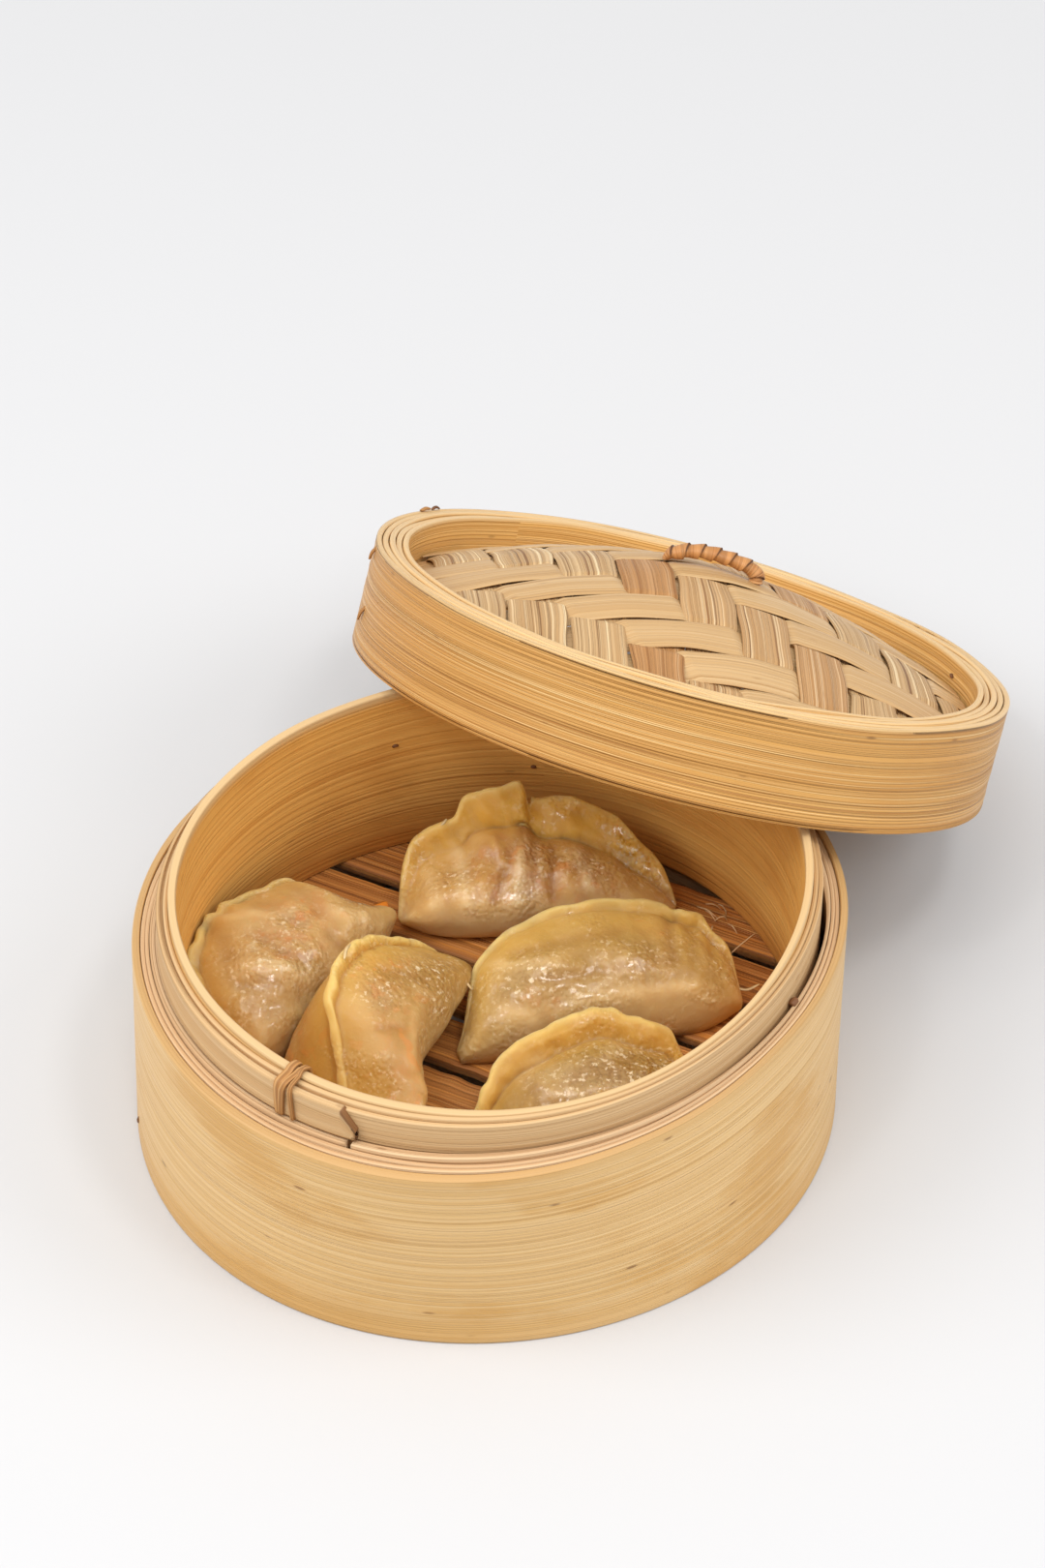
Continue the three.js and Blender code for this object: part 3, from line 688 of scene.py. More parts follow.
# %% Slats
SLAT_OFFSETS = np.array([-1, -0.97, -0.9, -0.6, -0.3, 0, 0.3, 0.6, 0.9, 0.97, 1])
SLAT_DROPS = np.array([0.5, 0.18, 0.0, 0, 0, 0, 0, 0, 0, 0.18, 0.5])
SLAT_WAVER, SLAT_WAVE, SLAT_SEEDS = 0.22, 14, 60


def slat(number, centre):
    half = SLAT_WIDTH / 2
    upper = [(o, FLOOR_TOP - drop) for o, drop in zip(SLAT_OFFSETS, SLAT_DROPS)]
    lower = [(o, 2 * FLOOR_TOP - SLAT_THICKNESS - z) for o, z in reversed(upper)]
    ends = {o: (slat_reach(centre + o * half, -1), slat_reach(centre + o * half, 1)) for o in SLAT_OFFSETS}
    share = np.linspace(0, 1, 90)
    rows = []
    for q in share:
        loose = SLAT_WAVER * math.sin(math.pi * q)
        row = []
        for o, z in upper + lower:
            place = -ends[o][0] * (1 - q) + ends[o][1] * q
            wave = float(waver(np.array(place / SLAT_WAVE), SLAT_SEEDS + number))
            waved = centre + o * half + loose * wave * abs(o)
            row.append((*(slat_across * waved + slat_along * place), z))
        rows.append(row)
    length = (ends[0.0][0] + ends[0.0][1]) / 1000
    across = np.concatenate([SLAT_OFFSETS, SLAT_OFFSETS[::-1] + 2.4, [3.4]]) * half / 1000 + number * 0.05
    return skin(np.array(rows), False, share * length + number, across)


for number, centre in enumerate(SLAT_CENTRES, 1):
    make_piece(f"slat_{number}", [slat(number, centre)], slat_wood, [f"floor_slat_{number}"])
print("slats:", len(SLAT_CENTRES))

# %% [markdown]
# ## Steamed dough
# Steamed wrappers are wet and half clear. Where they lie on the filling it shows through, greyer and
# pinker; where two layers are pressed together at the rim they are thicker and more yellow. So the
# finish reads values from the mesh that say where it is: "belly", "blush", "rim", "ridge", "wet", "fold"
# and "lip". It scatters light below the skin and has a wet coat. Small blisters, clouds and glints come
# from a shared group, which the shreds of filling use as well. Some light and shade is painted into the
# base colour: the glints on wet patches are painted highlights, a pale glow along the thin edge ("lip")
# and the raised wrinkles and lower sides ("ridge") are painted light, and creases ("fold") are painted
# shade. No two dumplings were steamed alike, so each one has its own five colours: wrapper, rim,
# filling, blush, and a milky colour that serves for milky skin and for the painted light on ridges and
# lower sides. The colours differ in tone and also in brightness, which is painted light and shade for
# how much light reaches each dumpling.

# %% Blisters
BLISTERS_PER_METRE = 800.0


def build_blister_group():
    group, enter, leave = new_group(
        "blisters", {"Place": (0.0, 0.0, 0.0)}, ["Blister", "Soft", "Patch", "Cloud", "Bits", "Glint"])
    place = enter.outputs["Place"]
    cell = group.nodes.new("ShaderNodeTexVoronoi")
    cell.feature = "SMOOTH_F1"
    cell.inputs["Scale"].default_value = BLISTERS_PER_METRE
    group.links.new(place, cell.inputs["Vector"])
    group.links.new(span(group, cell.outputs["Distance"], 0.1, 0.75, 1.0, 0.0), leave.inputs["Blister"])
    put_out(group, leave, {
        "Soft": (noise(group, place, 240.0, 3.0, 0.6), 0.3, 0.7),
        "Patch": (noise(group, place, 70.0, 2.0), 0.46, 0.62),
        "Cloud": (noise(group, place, 90.0, 3.0, 0.55), 0.45, 0.68),
        "Bits": (noise(group, place, 230.0, 1.0), 0.6, 0.7),
        "Glint": (noise(group, place, 620.0, 3.0, 0.6), 0.55, 0.66)})
    return group


def place_marks(tree):
    place = tree.nodes.new("ShaderNodeTexCoord")
    marks = use_group(tree, blister_group)
    tree.links.new(place.outputs["Object"], marks.inputs["Place"])
    return marks.outputs


blister_group = build_blister_group()
print("blister group:", len(blister_group.nodes), "nodes")

# %% Dough
# The glint colour is a painted highlight.
CARROT_TINT, PAINTED_GLINT = (214, 134, 60), (246, 226, 188)
# The lip colour is painted light shining through the thin edge; the fold colour is painted shade.
FOLD_SHADE, PAINTED_LIP_GLOW = (150, 90, 36), (230, 194, 118)


def dough(name, wrapper, rim, filling, blush, milk_and_light):
    material, tree, shader = new_material(name)
    marks = place_marks(tree)
    soft, on_rim, blushed = marks["Soft"], stored(tree, "rim"), stored(tree, "blush")
    wet = math_node(tree, "MAXIMUM", stored(tree, "wet"), times(tree, marks["Patch"], 0.4))
    shown = times(tree, stored(tree, "belly"), span(tree, soft, 0.0, 1.0, 0.3, 1.0))
    milky = times(tree, marks["Cloud"], span(tree, on_rim, 0.0, 1.0, 0.3, 0.1))
    layers = (
        (times(tree, shown, 0.8), filling),
        (times(tree, blushed, span(tree, soft, 0.2, 0.9, 0.1, 0.4)), blush),
        (times(tree, on_rim, 0.8), rim),
        # On ridges and lower sides ("ridge") the milk colour is painted light.
        (math_node(tree, "MAXIMUM", milky, times(tree, stored(tree, "ridge"), 0.85)), milk_and_light),
        (times(tree, times(tree, marks["Bits"], blushed), 0.4), CARROT_TINT),
        # Glint specks on wet patches are painted highlights in the base colour.
        (times(tree, times(tree, marks["Glint"], wet), 0.75), PAINTED_GLINT),
        # Creases, pinches and grooves ("fold") are painted shade.
        (times(tree, stored(tree, "fold"), 0.8), FOLD_SHADE),
        # The pale lip is painted light shining through the thin edge.
        (times(tree, stored(tree, "lip"), 0.6), PAINTED_LIP_GLOW))
    colour = srgb(*wrapper)
    for amount, paint in layers:
        colour = mix_colour(tree, amount, colour, srgb(*paint))
    tree.links.new(colour, shader.inputs["Base Color"])
    tree.links.new(span(tree, soft, 0.0, 1.0, 0.48, 0.6), shader.inputs["Roughness"])
    tree.links.new(span(tree, wet, 0.0, 0.8, 0.08, 1.0), shader.inputs["Coat Weight"])
    height = math_node(tree, "ADD", times(tree, marks["Blister"], wet), times(tree, soft, 0.2))
    lift_surface(tree, shader, height, 0.0008, 1.0)
    set_sockets(shader, {"Specular IOR Level": 0.25, "Coat Roughness": 0.13, "Subsurface Weight": 0.8,
                         "Subsurface Radius": (1.0, 0.95, 0.85), "Subsurface Scale": 0.011})
    return material


# The left colours are lighter and the front and front-left ones darker, partly as painted light and shade.
DOUGH_COLOURS = {
    "left": ((193, 156, 94), (213, 171, 96), (186, 147, 98), (206, 140, 80), (220, 188, 134)),
    "front_left": ((173, 133, 69), (205, 160, 76), (165, 125, 68), (200, 132, 68), (212, 178, 120)),
    "back": ((198, 153, 80), (215, 162, 64), (187, 142, 86), (196, 134, 84), (220, 188, 136)),
    "right": ((177, 140, 75), (205, 161, 79), (168, 131, 77), (200, 134, 72), (220, 186, 130)),
    "front": ((167, 130, 64), (196, 151, 69), (156, 119, 64), (186, 126, 66), (208, 177, 124))}
dough_finishes = {place: dough(f"dough_{place}", *colours) for place, colours in DOUGH_COLOURS.items()}
print("dough finishes:", [finish.name for finish in dough_finishes.values()])

# %% [markdown]
# ## Folding a gyoza
# A gyoza is a disc of dough folded over its filling. Cut across, it shows a fat drop with a thin double
# rim. A half moon from a formula looks stamped, so each dumpling is drawn instead: a rim line and a
# fold line, in millimetres on the plane that the dumpling leans in. The mesh is a row of sections
# between these two lines.

# %% A smooth line through drawn points


def curve_through(points, u):
    points = np.asarray(points, float)
    chord = np.concatenate([[0], np.cumsum(np.linalg.norm(np.diff(points, axis=0), axis=1))])
    knots = chord / chord[-1]
    slope = np.gradient(points, knots, axis=0)
    k = np.clip(np.searchsorted(knots, u, side="right") - 1, 0, len(knots) - 2)
    width = (knots[k + 1] - knots[k])[:, None]
    q = (u - knots[k])[:, None] / width
    return ((2 * q ** 3 - 3 * q ** 2 + 1) * points[k] + (q ** 3 - 2 * q ** 2 + q) * width * slope[k]
            + (3 * q ** 2 - 2 * q ** 3) * points[k + 1] + (q ** 3 - q ** 2) * width * slope[k + 1])


def steady(u, stops):
    return np.interp(u, *zip(*stops))[:, None]


print("middle of a test line:", curve_through([(0, 0), (1, 2), (2, 0)], np.array([0.5]))[0])

# %% [markdown]
# ## The body of a gyoza
# The skin swells below a crease line. A share of 1 is the rim and 0 is the fold; the upper side of the
# loop runs from the rim to the fold, and the lower side runs back. The swelling is part round and part
# drop-shaped, smaller at the ends, and a dumpling can be heavy at its front end or have its swelling
# blend into the rim. Pinches are dents that run down from the crease, and wrinkles are drawn as short
# lines with a width and a height.

# %% Swelling and pinches


def section_shares(crease):
    flange = np.linspace(0, 1, 22)[None, :] ** 1.3
    body = np.linspace(0, 1, 40)[None, 1:] ** 1.1
    upper = np.concatenate([1 - (1 - crease) * flange, crease * (1 - body)], 1)
    share = np.concatenate([upper, upper[:, -2:0:-1]], 1)
    side = np.concatenate([np.ones(upper.shape[1]), -np.ones(upper.shape[1] - 2)])[None, :]
    return share, side


def swelling(g, u, share, crease):
    heavy = 1 + g.get("heavy", 0) * (1 - smoothstep(u, 0.1, 0.5))
    belly = (np.sqrt(1 - np.abs(2 * u - 1) ** g.get("full", 3)) * heavy)[:, None]
    below = np.clip(share / crease, 0, 1)
    round_body = np.sqrt(np.clip(1 - (2 * below ** 0.9 - 1) ** 2, 0, 1))
    drop_body = np.sin(math.pi * below ** 0.8)
    swell = belly * (round_body * (1 - g["drop"]) + drop_body * g["drop"]) * (share < crease)
    blend = steady(u, g.get("blend", [(0, 0), (1, 0)]))
    return belly, below, swell * (1 - blend * (1 - smoothstep(1 - below, 0, 0.5))), blend


def pinching(g, u, below, from_crease):
    pinch = np.zeros_like(below)
    for place, deep, wide, slant in g["pinches"]:
        track = u[:, None] - place - slant * (1 - below)
        pinch += deep * np.exp(-(track / wide) ** 2)
    return pinch * smoothstep(below, 0.3, 0.8) * smoothstep(from_crease, -1.5, 1.0)


print("points round a dumpling:", section_shares(np.array([[0.8]]))[0].shape[1])

# %% Wrinkles and spots
SPOT_STRETCH = 1.6


def wrinkles(local, lines):
    height = np.zeros(local.shape[:2])
    for start, end, wide, high in lines:
        start, run = np.array(start, float), np.array(end, float) - start
        share = np.clip((local[..., :2] - start) @ run / (run @ run), 0, 1)
        away = np.linalg.norm(local[..., :2] - start - share[..., None] * run, axis=-1)
        height += high * np.exp(-(away / wide) ** 2)
    return height


def spots(u, share, side, places, spread):
    total = np.zeros_like(share)
    for place, level, face, size in places:
        wide = spread * size
        off = ((u[:, None] - place) / wide) ** 2 + ((share - level) / (SPOT_STRETCH * wide)) ** 2
        total += (side == face) * np.exp(-off)
    return np.clip(total, 0, 1)


one_spot = spots(np.array([0.5]), np.array([[0.5]]), 1, [(0.5, 0.5, 1, 0.1)], 1.0)
print("a spot at its middle:", one_spot.item())

# %% [markdown]
# Now the parts come together. The rim waves, is notched and jagged, and may lap over itself in a flap.
# The body gets lumps of filling, puffs along the rim, tiny blisters and the drawn wrinkles. The values
# for the finish are worked out here too, because only here is it known where each point belongs.

# %% Wavy and notched rim
RIM_WAVES, JAGGED = 3, 0.3
FLAP_STEP, FLAP_RUN = 0.006, 0.12


def edge_moves(g, u, share, belly, seed):
    ripple = g["wave"] * waver(u[:, None] * 12, seed, 1, RIM_WAVES, 4) * smoothstep(share, 0.5, 1)
    for place, step in g.get("flaps", []):
        off = u[:, None] - place
        lapped = np.tanh(off / FLAP_STEP) * np.exp(-(off / FLAP_RUN) ** 2)
        ripple = ripple - step * lapped * smoothstep(share, 0.55, 0.8)
    pull = JAGGED * waver(u[:, None] * 14, seed + 7, 1, 8, 7) * smoothstep(share, 0.8, 1) * belly
    for place, deep, wide in g["notches"]:
        pull = pull - deep * np.exp(-((u[:, None] - place) / wide) ** 2) * smoothstep(share, 0.7, 1)
    return ripple, pull


print("the rim is jagged by about", JAGGED, "mm")

# %% Shape of one gyoza
STATIONS, END_TRIM = 210, 0.985
RIM_HALF, EDGE_ROUND, ROLL = 1.2, 1.4, 2.4
VALLEY_WIDTH, FOLD_WIDTH, LIP_WIDTH = 2.0, 1.8, 3.0
LUMP, SMALL_LUMP, BLISTER, BLISTER_PATCH = 18, 7, 2.4, 14
SKIRT, WET_SPREAD = 0.8, 1.35


def gyoza(g, seed):
    u = 0.5 + 0.5 * np.sin(np.linspace(-1, 1, STATIONS) * math.pi / 2 * END_TRIM)
    rim, fold = curve_through(g["rim"], u), curve_through(g["fold"], u)
    crease = steady(u, g["crease"])
    share, side = section_shares(crease)
    length = np.linalg.norm(rim - fold, axis=1)[:, None]
    from_edge, from_crease = (1 - share) * length, (crease - share) * length
    edge = np.sqrt(1 - (1 - from_edge / EDGE_ROUND).clip(0, 1) ** 2)
    belly, below, swell, blend = swelling(g, u, share, crease)
    pinch = pinching(g, u, below, from_crease)
    depth = steady(u, g["valley"]) * belly
    roll = g.get("roll", ROLL)
    bead = steady(u, g["bead"]) * np.exp(-((from_edge - roll) / (0.7 * roll)) ** 2)
    thick = RIM_HALF * np.minimum(1, 5 * share) + bead
    bulge = np.where(side > 0, g["upper"], g["lower"]) * swell
    ripple, pull = edge_moves(g, u, share, belly, seed)
    local = np.zeros((*share.shape, 3))
    local[..., :2] = fold[:, None] + (share + pull / length)[..., None] * (rim - fold)[:, None]
    valley = depth * np.exp(-(from_crease / VALLEY_WIDTH) ** 2)
    local[..., 2] = side * (thick * edge + bulge - pinch - valley) + ripple
    lumpy = 0.55 * lumps(local, LUMP, seed + 2) + 0.2 * lumps(local, SMALL_LUMP, seed + 3)
    puffs = 0.3 * lumps(local, SMALL_LUMP, seed + 6) * smoothstep(-from_crease, -2, 2)
    blistered = smoothstep(lumps(local, BLISTER_PATCH, seed + 5), -0.2, 0.8)
    blister = 0.07 * lumps(local, BLISTER, seed + 4) * blistered
    drawn = wrinkles(local, g["wrinkles"]) * (side > 0)
    local[..., 2] += side * (g["lumpy"] * lumpy * (0.2 + 0.8 * swell) + puffs + blister + drawn) * edge
    # The lower side and the raised wrinkles are painted lighter as painted light ("ridge").
    skirt = (side > 0) * np.maximum(1 - smoothstep(share, 0.05, 0.5), 1 - smoothstep(belly, 0.3, 0.9))
    # The crease, the pinches and the grooves are painted darker as painted shade ("fold").
    crease_line = depth * np.exp(-(from_crease / FOLD_WIDTH) ** 2)
    folded = 0.5 * crease_line + 0.15 * pinch + 0.35 * np.clip(-drawn, 0, 1)
    return local, {
        "rim": (1 - 0.5 * blend) * smoothstep(-from_crease, -g["gold"] - 4 * blend, 2.0),
        "belly": np.clip(g["clear"] * swell, 0, 1),
        "fold": np.clip(folded, 0, 1) * (side > 0),
        "lip": 1 - smoothstep(from_edge, 0.4, LIP_WIDTH),
        "ridge": np.clip(drawn + g.get("skirt", SKIRT) * skirt, 0, 1),
        "blush": spots(u, share, side, g["blush"], 1.0),
        "wet": spots(u, share, side, g["wet"], WET_SPREAD)}


print("pressed rim:", 2 * RIM_HALF, "mm thick")

# %% [markdown]
# A finished dumpling is leaned, turned and laid on the slats. Points that would sink below the floor are
# laid flat on it, and never wider than what stands above the floor, so no thin sliver sticks out.

# %% Lay it down
FAR_AWAY = 1e3


def lay_down(local, g):
    lean, swing = math.radians(g["lean"]), math.radians(g["turn"])
    x = local[..., 0]
    y = local[..., 1] * math.cos(lean) - local[..., 2] * math.sin(lean)
    z = local[..., 1] * math.sin(lean) + local[..., 2] * math.cos(lean) + g["lift"]
    if y.ndim == 2:
        near = np.where(z > 0, y, FAR_AWAY).min(1, keepdims=True)
        far = np.where(z > 0, y, -FAR_AWAY).max(1, keepdims=True)
        y = np.where(near < far, np.clip(y, near, np.maximum(near, far)), y)
    return np.stack([g["x"] + x * math.cos(swing) - y * math.sin(swing),
                     g["y"] + x * math.sin(swing) + y * math.cos(swing),
                     FLOOR_TOP + GAP + np.maximum(0, z)], -1)


print("dumplings rest at", FLOOR_TOP + GAP, "mm")

# %% [markdown]
# ## Five dumplings
# Every dumpling gets its own drawing: where it lies, how it is turned, how far it leans from the floor,
# its rim and fold lines, and where it was pinched. They were folded by hand, so no two are alike.
# Values that change along a dumpling are pairs of a place, from 0 to 1, and a number there. A spot of
# "blush" or "wet" is a place, a share, a side of the loop and a size.

# %% The two dumplings on the left
GYOZA = {
    "left": dict(
        x=-47, y=13, turn=58, lean=30, lift=2.85, upper=14, lower=9, drop=0.55, lumpy=1.2, wave=0.7,
        gold=8, clear=0.6, skirt=0.4, valley=[(0, 0.15), (1, 0.15)],
        bead=[(0, 0.3), (0.3, 0.3), (0.5, 0.0), (1, 0.0)],
        crease=[(0, 0.82), (0.25, 0.88), (0.42, 0.95), (1, 0.95)],
        rim=[(-36, 5), (-34, 16), (-29, 28), (-20.5, 37), (-12, 39.5), (-4, 41.5), (5, 38.6), (13.4, 35.5),
             (21.5, 32), (24, 27), (27, 20), (31, 12), (36.5, 7), (37, 2)],
        fold=[(-35, 1), (-28, -3), (-8, -5), (10, -5), (28, -3), (36.5, 0)],
        notches=[(0.47, 2.0, 0.02)],
        pinches=[(0.56, 1.3, 0.035, -0.05), (0.68, 1.2, 0.03, -0.1), (0.4, 0.6, 0.04, 0.05)],
        wrinkles=[((-19, 22), (-9.3, 7.7), 3.0, 0.9), ((-8.6, 39.4), (-17.6, 28), 2.0, -0.6),
                  ((-6, 36.9), (6.2, 23.6), 2.5, 0.6), ((-7.5, 25.3), (-8.1, 14.8), 3.0, -0.6),
                  ((7.6, 10.4), (8.9, 2.6), 1.8, -0.8), ((14.5, 14.5), (19.8, 6.6), 2.5, 0.6)],
        blush=[(0.62, 0.62, 1, 0.14), (0.45, 0.5, 1, 0.1)],
        wet=[(0.32, 0.6, 1, 0.08), (0.42, 0.35, 1, 0.08), (0.55, 0.6, 1, 0.05), (0.8, 0.7, 1, 0.07)]),
    "front_left": dict(
        x=-26.5, y=-18.5, turn=69, lean=62, lift=3.74, upper=15.5, lower=24, drop=0.7, lumpy=0.55, wave=0.35,
        gold=10, clear=0.6, full=4, heavy=0.6, valley=[(0, 0.1), (1, 0.15)], bead=[(0, 0.35), (1, 0.25)],
        crease=[(0, 0.86), (0.4, 0.91), (0.7, 0.9), (1, 0.84)],
        rim=[(-42, 1), (-36, 4), (-28, 7), (-21.3, 13), (-14.5, 25.2), (-7.5, 34.4), (1.3, 38.4), (11.1, 38),
             (23.6, 31.6), (32.5, 23.7), (40.2, 14.6), (44, 8), (45, 2)],
        fold=[(-41, 0), (-30, -3), (-5, -4), (15, -4), (34, -2), (44.5, 0)],
        notches=[], pinches=[(0.8, 0.8, 0.04, 0.05)],
        wrinkles=[((16.8, 18.7), (10, 28.3), 2.0, -0.6), ((-4, 29.8), (-14.5, 17.6), 3.0, 0.5),
                  ((3.9, 18.1), (-12.3, 11.8), 2.5, 0.5), ((-5.1, 18.5), (-8.6, 22.1), 1.5, -0.5)],
        blush=[(0.4, 0.5, -1, 0.3), (0.4, 0.6, 1, 0.2), (0.25, 0.4, 1, 0.12), (0.6, 0.82, 1, 0.08)],
        wet=[(0.7, 0.6, 1, 0.09), (0.62, 0.35, 1, 0.05), (0.5, 0.75, 1, 0.05)])}
print("rim points:", {place: len(drawing["rim"]) for place, drawing in GYOZA.items()})

# %% The dumpling at the back
GYOZA["back"] = dict(
    x=14, y=47, turn=4, lean=46, lift=1.77, upper=12.5, lower=9, drop=0.15, lumpy=1.3, wave=0.7,
    gold=3, clear=1.0, flaps=[(0.5, 1.3)], bead=[(0, 0.3), (1, 0.3)],
    valley=[(0, 0.0), (0.28, 0.0), (0.4, 0.5), (0.75, 0.5), (1, 0.2)],
    blend=[(0, 1), (0.28, 0.8), (0.4, 0), (1, 0)],
    crease=[(0, 0.7), (0.2, 0.76), (0.35, 0.74), (0.5, 0.72), (0.7, 0.66), (0.85, 0.62), (1, 0.6)],
    rim=[(-40, 3), (-39.3, 10.6), (-37.9, 18.5), (-35.8, 24.1), (-31.8, 28), (-26.4, 30.4), (-22, 33),
         (-19.8, 36.4), (-13.5, 39.5), (-7.3, 40.1), (-2.4, 41.3), (1.5, 36.4), (9.4, 36.7), (18.1, 33.7),
         (25.9, 28.9), (30.3, 23.5), (36, 17.8), (39.2, 11.5), (41.5, 3.4)],
    fold=[(-39, 1), (-30, -3), (-10, -5), (10, -5), (30, -3), (41, 1)],
    notches=[(0.515, 4.5, 0.012), (0.3, 1.2, 0.02)],
    pinches=[(0.5, 2.6, 0.03, 0.0), (0.42, 1.2, 0.025, 0.08), (0.6, 1.4, 0.03, -0.1), (0.33, 1.0, 0.03, 0.12),
             (0.68, 1.0, 0.03, -0.12)],
    wrinkles=[((-2.5, 27.8), (-12.1, 6.4), 1.6, -0.9), ((-4.4, 19.7), (-4.6, 5.7), 2.2, 1.0),
              ((5.5, 22), (4.8, 6.8), 1.8, -0.9), ((13.4, 19), (15.7, 8.8), 2.0, 0.9),
              ((14.3, 23.8), (30.1, 17), 1.2, -0.6), ((-13.4, 23.1), (-9, 13.7), 1.6, -0.6),
              ((-21.8, 20.8), (-20.3, 4.8), 2.5, 0.8), ((-30.7, 15.1), (-29.7, 5), 3.0, 0.5)],
    blush=[(0.45, 0.45, 1, 0.16), (0.62, 0.4, 1, 0.12)],
    wet=[(0.9, 0.7, 1, 0.09), (0.8, 0.85, 1, 0.05), (0.45, 0.3, 1, 0.06), (0.25, 0.5, 1, 0.06),
         (0.52, 0.55, 1, 0.05), (0.68, 0.5, 1, 0.06)])
print("wrinkles at the back:", len(GYOZA["back"]["wrinkles"]))

# %% The two dumplings on the right
GYOZA["right"] = dict(
    x=33, y=0, turn=11, lean=34, lift=2.45, upper=12.5, lower=9, drop=0.6, lumpy=0.8, wave=0.4,
    gold=13, clear=0.6, valley=[(0, 0.12), (1, 0.12)],
    bead=[(0, 0.2), (0.25, 0.0), (0.55, 0.0), (0.7, 0.35), (1, 0.3)],
    crease=[(0, 0.9), (0.3, 0.94), (0.6, 0.9), (1, 0.84)],
    rim=[(-42.2, 0), (-38.6, 8.3), (-36.5, 15.1), (-35, 20.3), (-32.4, 25.3), (-28.3, 29.2), (-20.5, 33.6),
         (-9.3, 37.5), (3.3, 38.6), (12.1, 37.9), (20.7, 36.3), (27.4, 33.6), (30.5, 31.4), (34, 30.3),
         (36.6, 25.1), (39.5, 21.1), (41.2, 15.5), (41.5, 9.2), (41.8, 4)],
    fold=[(-41.5, -4), (-33, -5), (-12, -4), (12, -4), (32, -3), (41, 1)],
    notches=[(0.71, 1.2, 0.015)],
    pinches=[(0.7, 1.6, 0.02, 0.02), (0.76, 1.0, 0.02, 0.02), (0.62, 0.5, 0.03, 0.1)],
    wrinkles=[((-22.1, 23.9), (8.3, 26.6), 2.2, -0.6), ((-17.2, 14.3), (22.9, 15), 2.2, -0.5),
              ((-7.2, 7.7), (26, 6.8), 2.5, 0.5), ((-28.6, 7.5), (-21.4, 2.6), 3.0, 0.5),
              ((26.4, 29.8), (34.3, 16.4), 1.5, -0.7), ((-28, 22), (-12, 19), 2.5, 0.5)],
    blush=[(0.3, 0.3, 1, 0.08), (0.66, 0.78, 1, 0.05)],
    wet=[(0.3, 0.55, 1, 0.08), (0.62, 0.5, 1, 0.06), (0.88, 0.6, 1, 0.05), (0.45, 0.25, 1, 0.07)])
# The front dumpling's high "clear" shows more of the darker filling colour, partly as painted shade.
GYOZA["front"] = dict(
    x=29.5, y=-45, turn=14, lean=42, lift=2.15, upper=12.5, lower=9, drop=0.3, lumpy=0.7, wave=0.5,
    gold=3, clear=1.2, roll=3.8, valley=[(0, 0.35), (1, 0.35)], bead=[(0, 1.0), (0.5, 1.2), (1, 0.9)],
    crease=[(0, 0.72), (0.3, 0.76), (0.6, 0.78), (1, 0.74)],
    rim=[(-33, 4), (-32, 10), (-30.6, 15.2), (-28.5, 19.1), (-26.2, 22.2), (-22.8, 26.7), (-19.6, 29.6),
         (-9.2, 33.9), (-1.8, 36.1), (5.4, 37.5), (10.7, 37.3), (17, 34), (21.8, 31.5), (28, 28.4),
         (29.8, 23.2), (31.5, 17), (33, 10), (33.5, 4)],
    fold=[(-32, 1), (-24, -3), (0, -4), (24, -3), (32.5, 1)],
    notches=[], pinches=[(0.3, 0.8, 0.03, 0.05), (0.72, 0.9, 0.03, -0.05)],
    wrinkles=[((15.6, 21.2), (-2.1, 18.4), 2.5, -0.5), ((-16.5, 21.3), (-10.3, 26.1), 2.5, 0.4),
              ((-10, 15), (8, 13), 2.5, 0.6)],
    blush=[], wet=[(0.5, 0.5, 1, 0.12), (0.7, 0.6, 1, 0.08)])
print("drawings:", list(GYOZA))

# %% Make the dumplings
FIRST_SEED, SEED_STEP = 100, 10
for number, (place, drawing) in enumerate(GYOZA.items()):
    local, marks = gyoza(drawing, FIRST_SEED + SEED_STEP * number)
    rows = lay_down(local, drawing)
    skinned = skin(rows, False, np.linspace(0, 0.09, len(rows)), np.linspace(0, 0.12, rows.shape[1] + 1))
    make_piece(f"dumpling_{place}", [skinned], dough_finishes[place], [f"gyoza_{place}"], marks)
print("points of a dumpling:", rows.shape[0] * rows.shape[1])

# %% [markdown]
# ## The lid's hoop
# The lid leans, so it is made upright in its own frame and then turned: X toward its low side, Z out of
# its woven top. Its hoop is a strip wound five times. The photo shows the five edges from above and a
# ribbed, streaky outer face, so every layer gets its own height and the ribs are cut into the face.

# %% The lid's own frame
LID_CENTRE = np.array([60.6, 121.9, 77.6])
LID_LEAN, LID_LOW_SIDE = math.radians(29.8), math.radians(61.7)
LID_RADIUS, LID_LAYER_PITCH, LID_LAYERS = 98.6, 2.06, 5
LID_OVAL = (-0.003, 0.036)
level = np.array([math.cos(LID_LOW_SIDE), math.sin(LID_LOW_SIDE), 0])
upright = np.array([0, 0, 1.0])
lid_up = upright * math.cos(LID_LEAN) + level * math.sin(LID_LEAN)
lid_low = level * math.cos(LID_LEAN) - upright * math.sin(LID_LEAN)
LID_AXES = np.stack([lid_low, np.cross(lid_up, lid_low), lid_up])


def from_lid(points):
    return LID_CENTRE + np.asarray(points, float) @ LID_AXES


def lid_radius(radius, angle):
    return radius * (1 + LID_OVAL[0] * np.cos(2 * angle) + LID_OVAL[1] * np.sin(2 * angle))


print("lid leans", round(math.degrees(LID_LEAN), 1), "degrees")

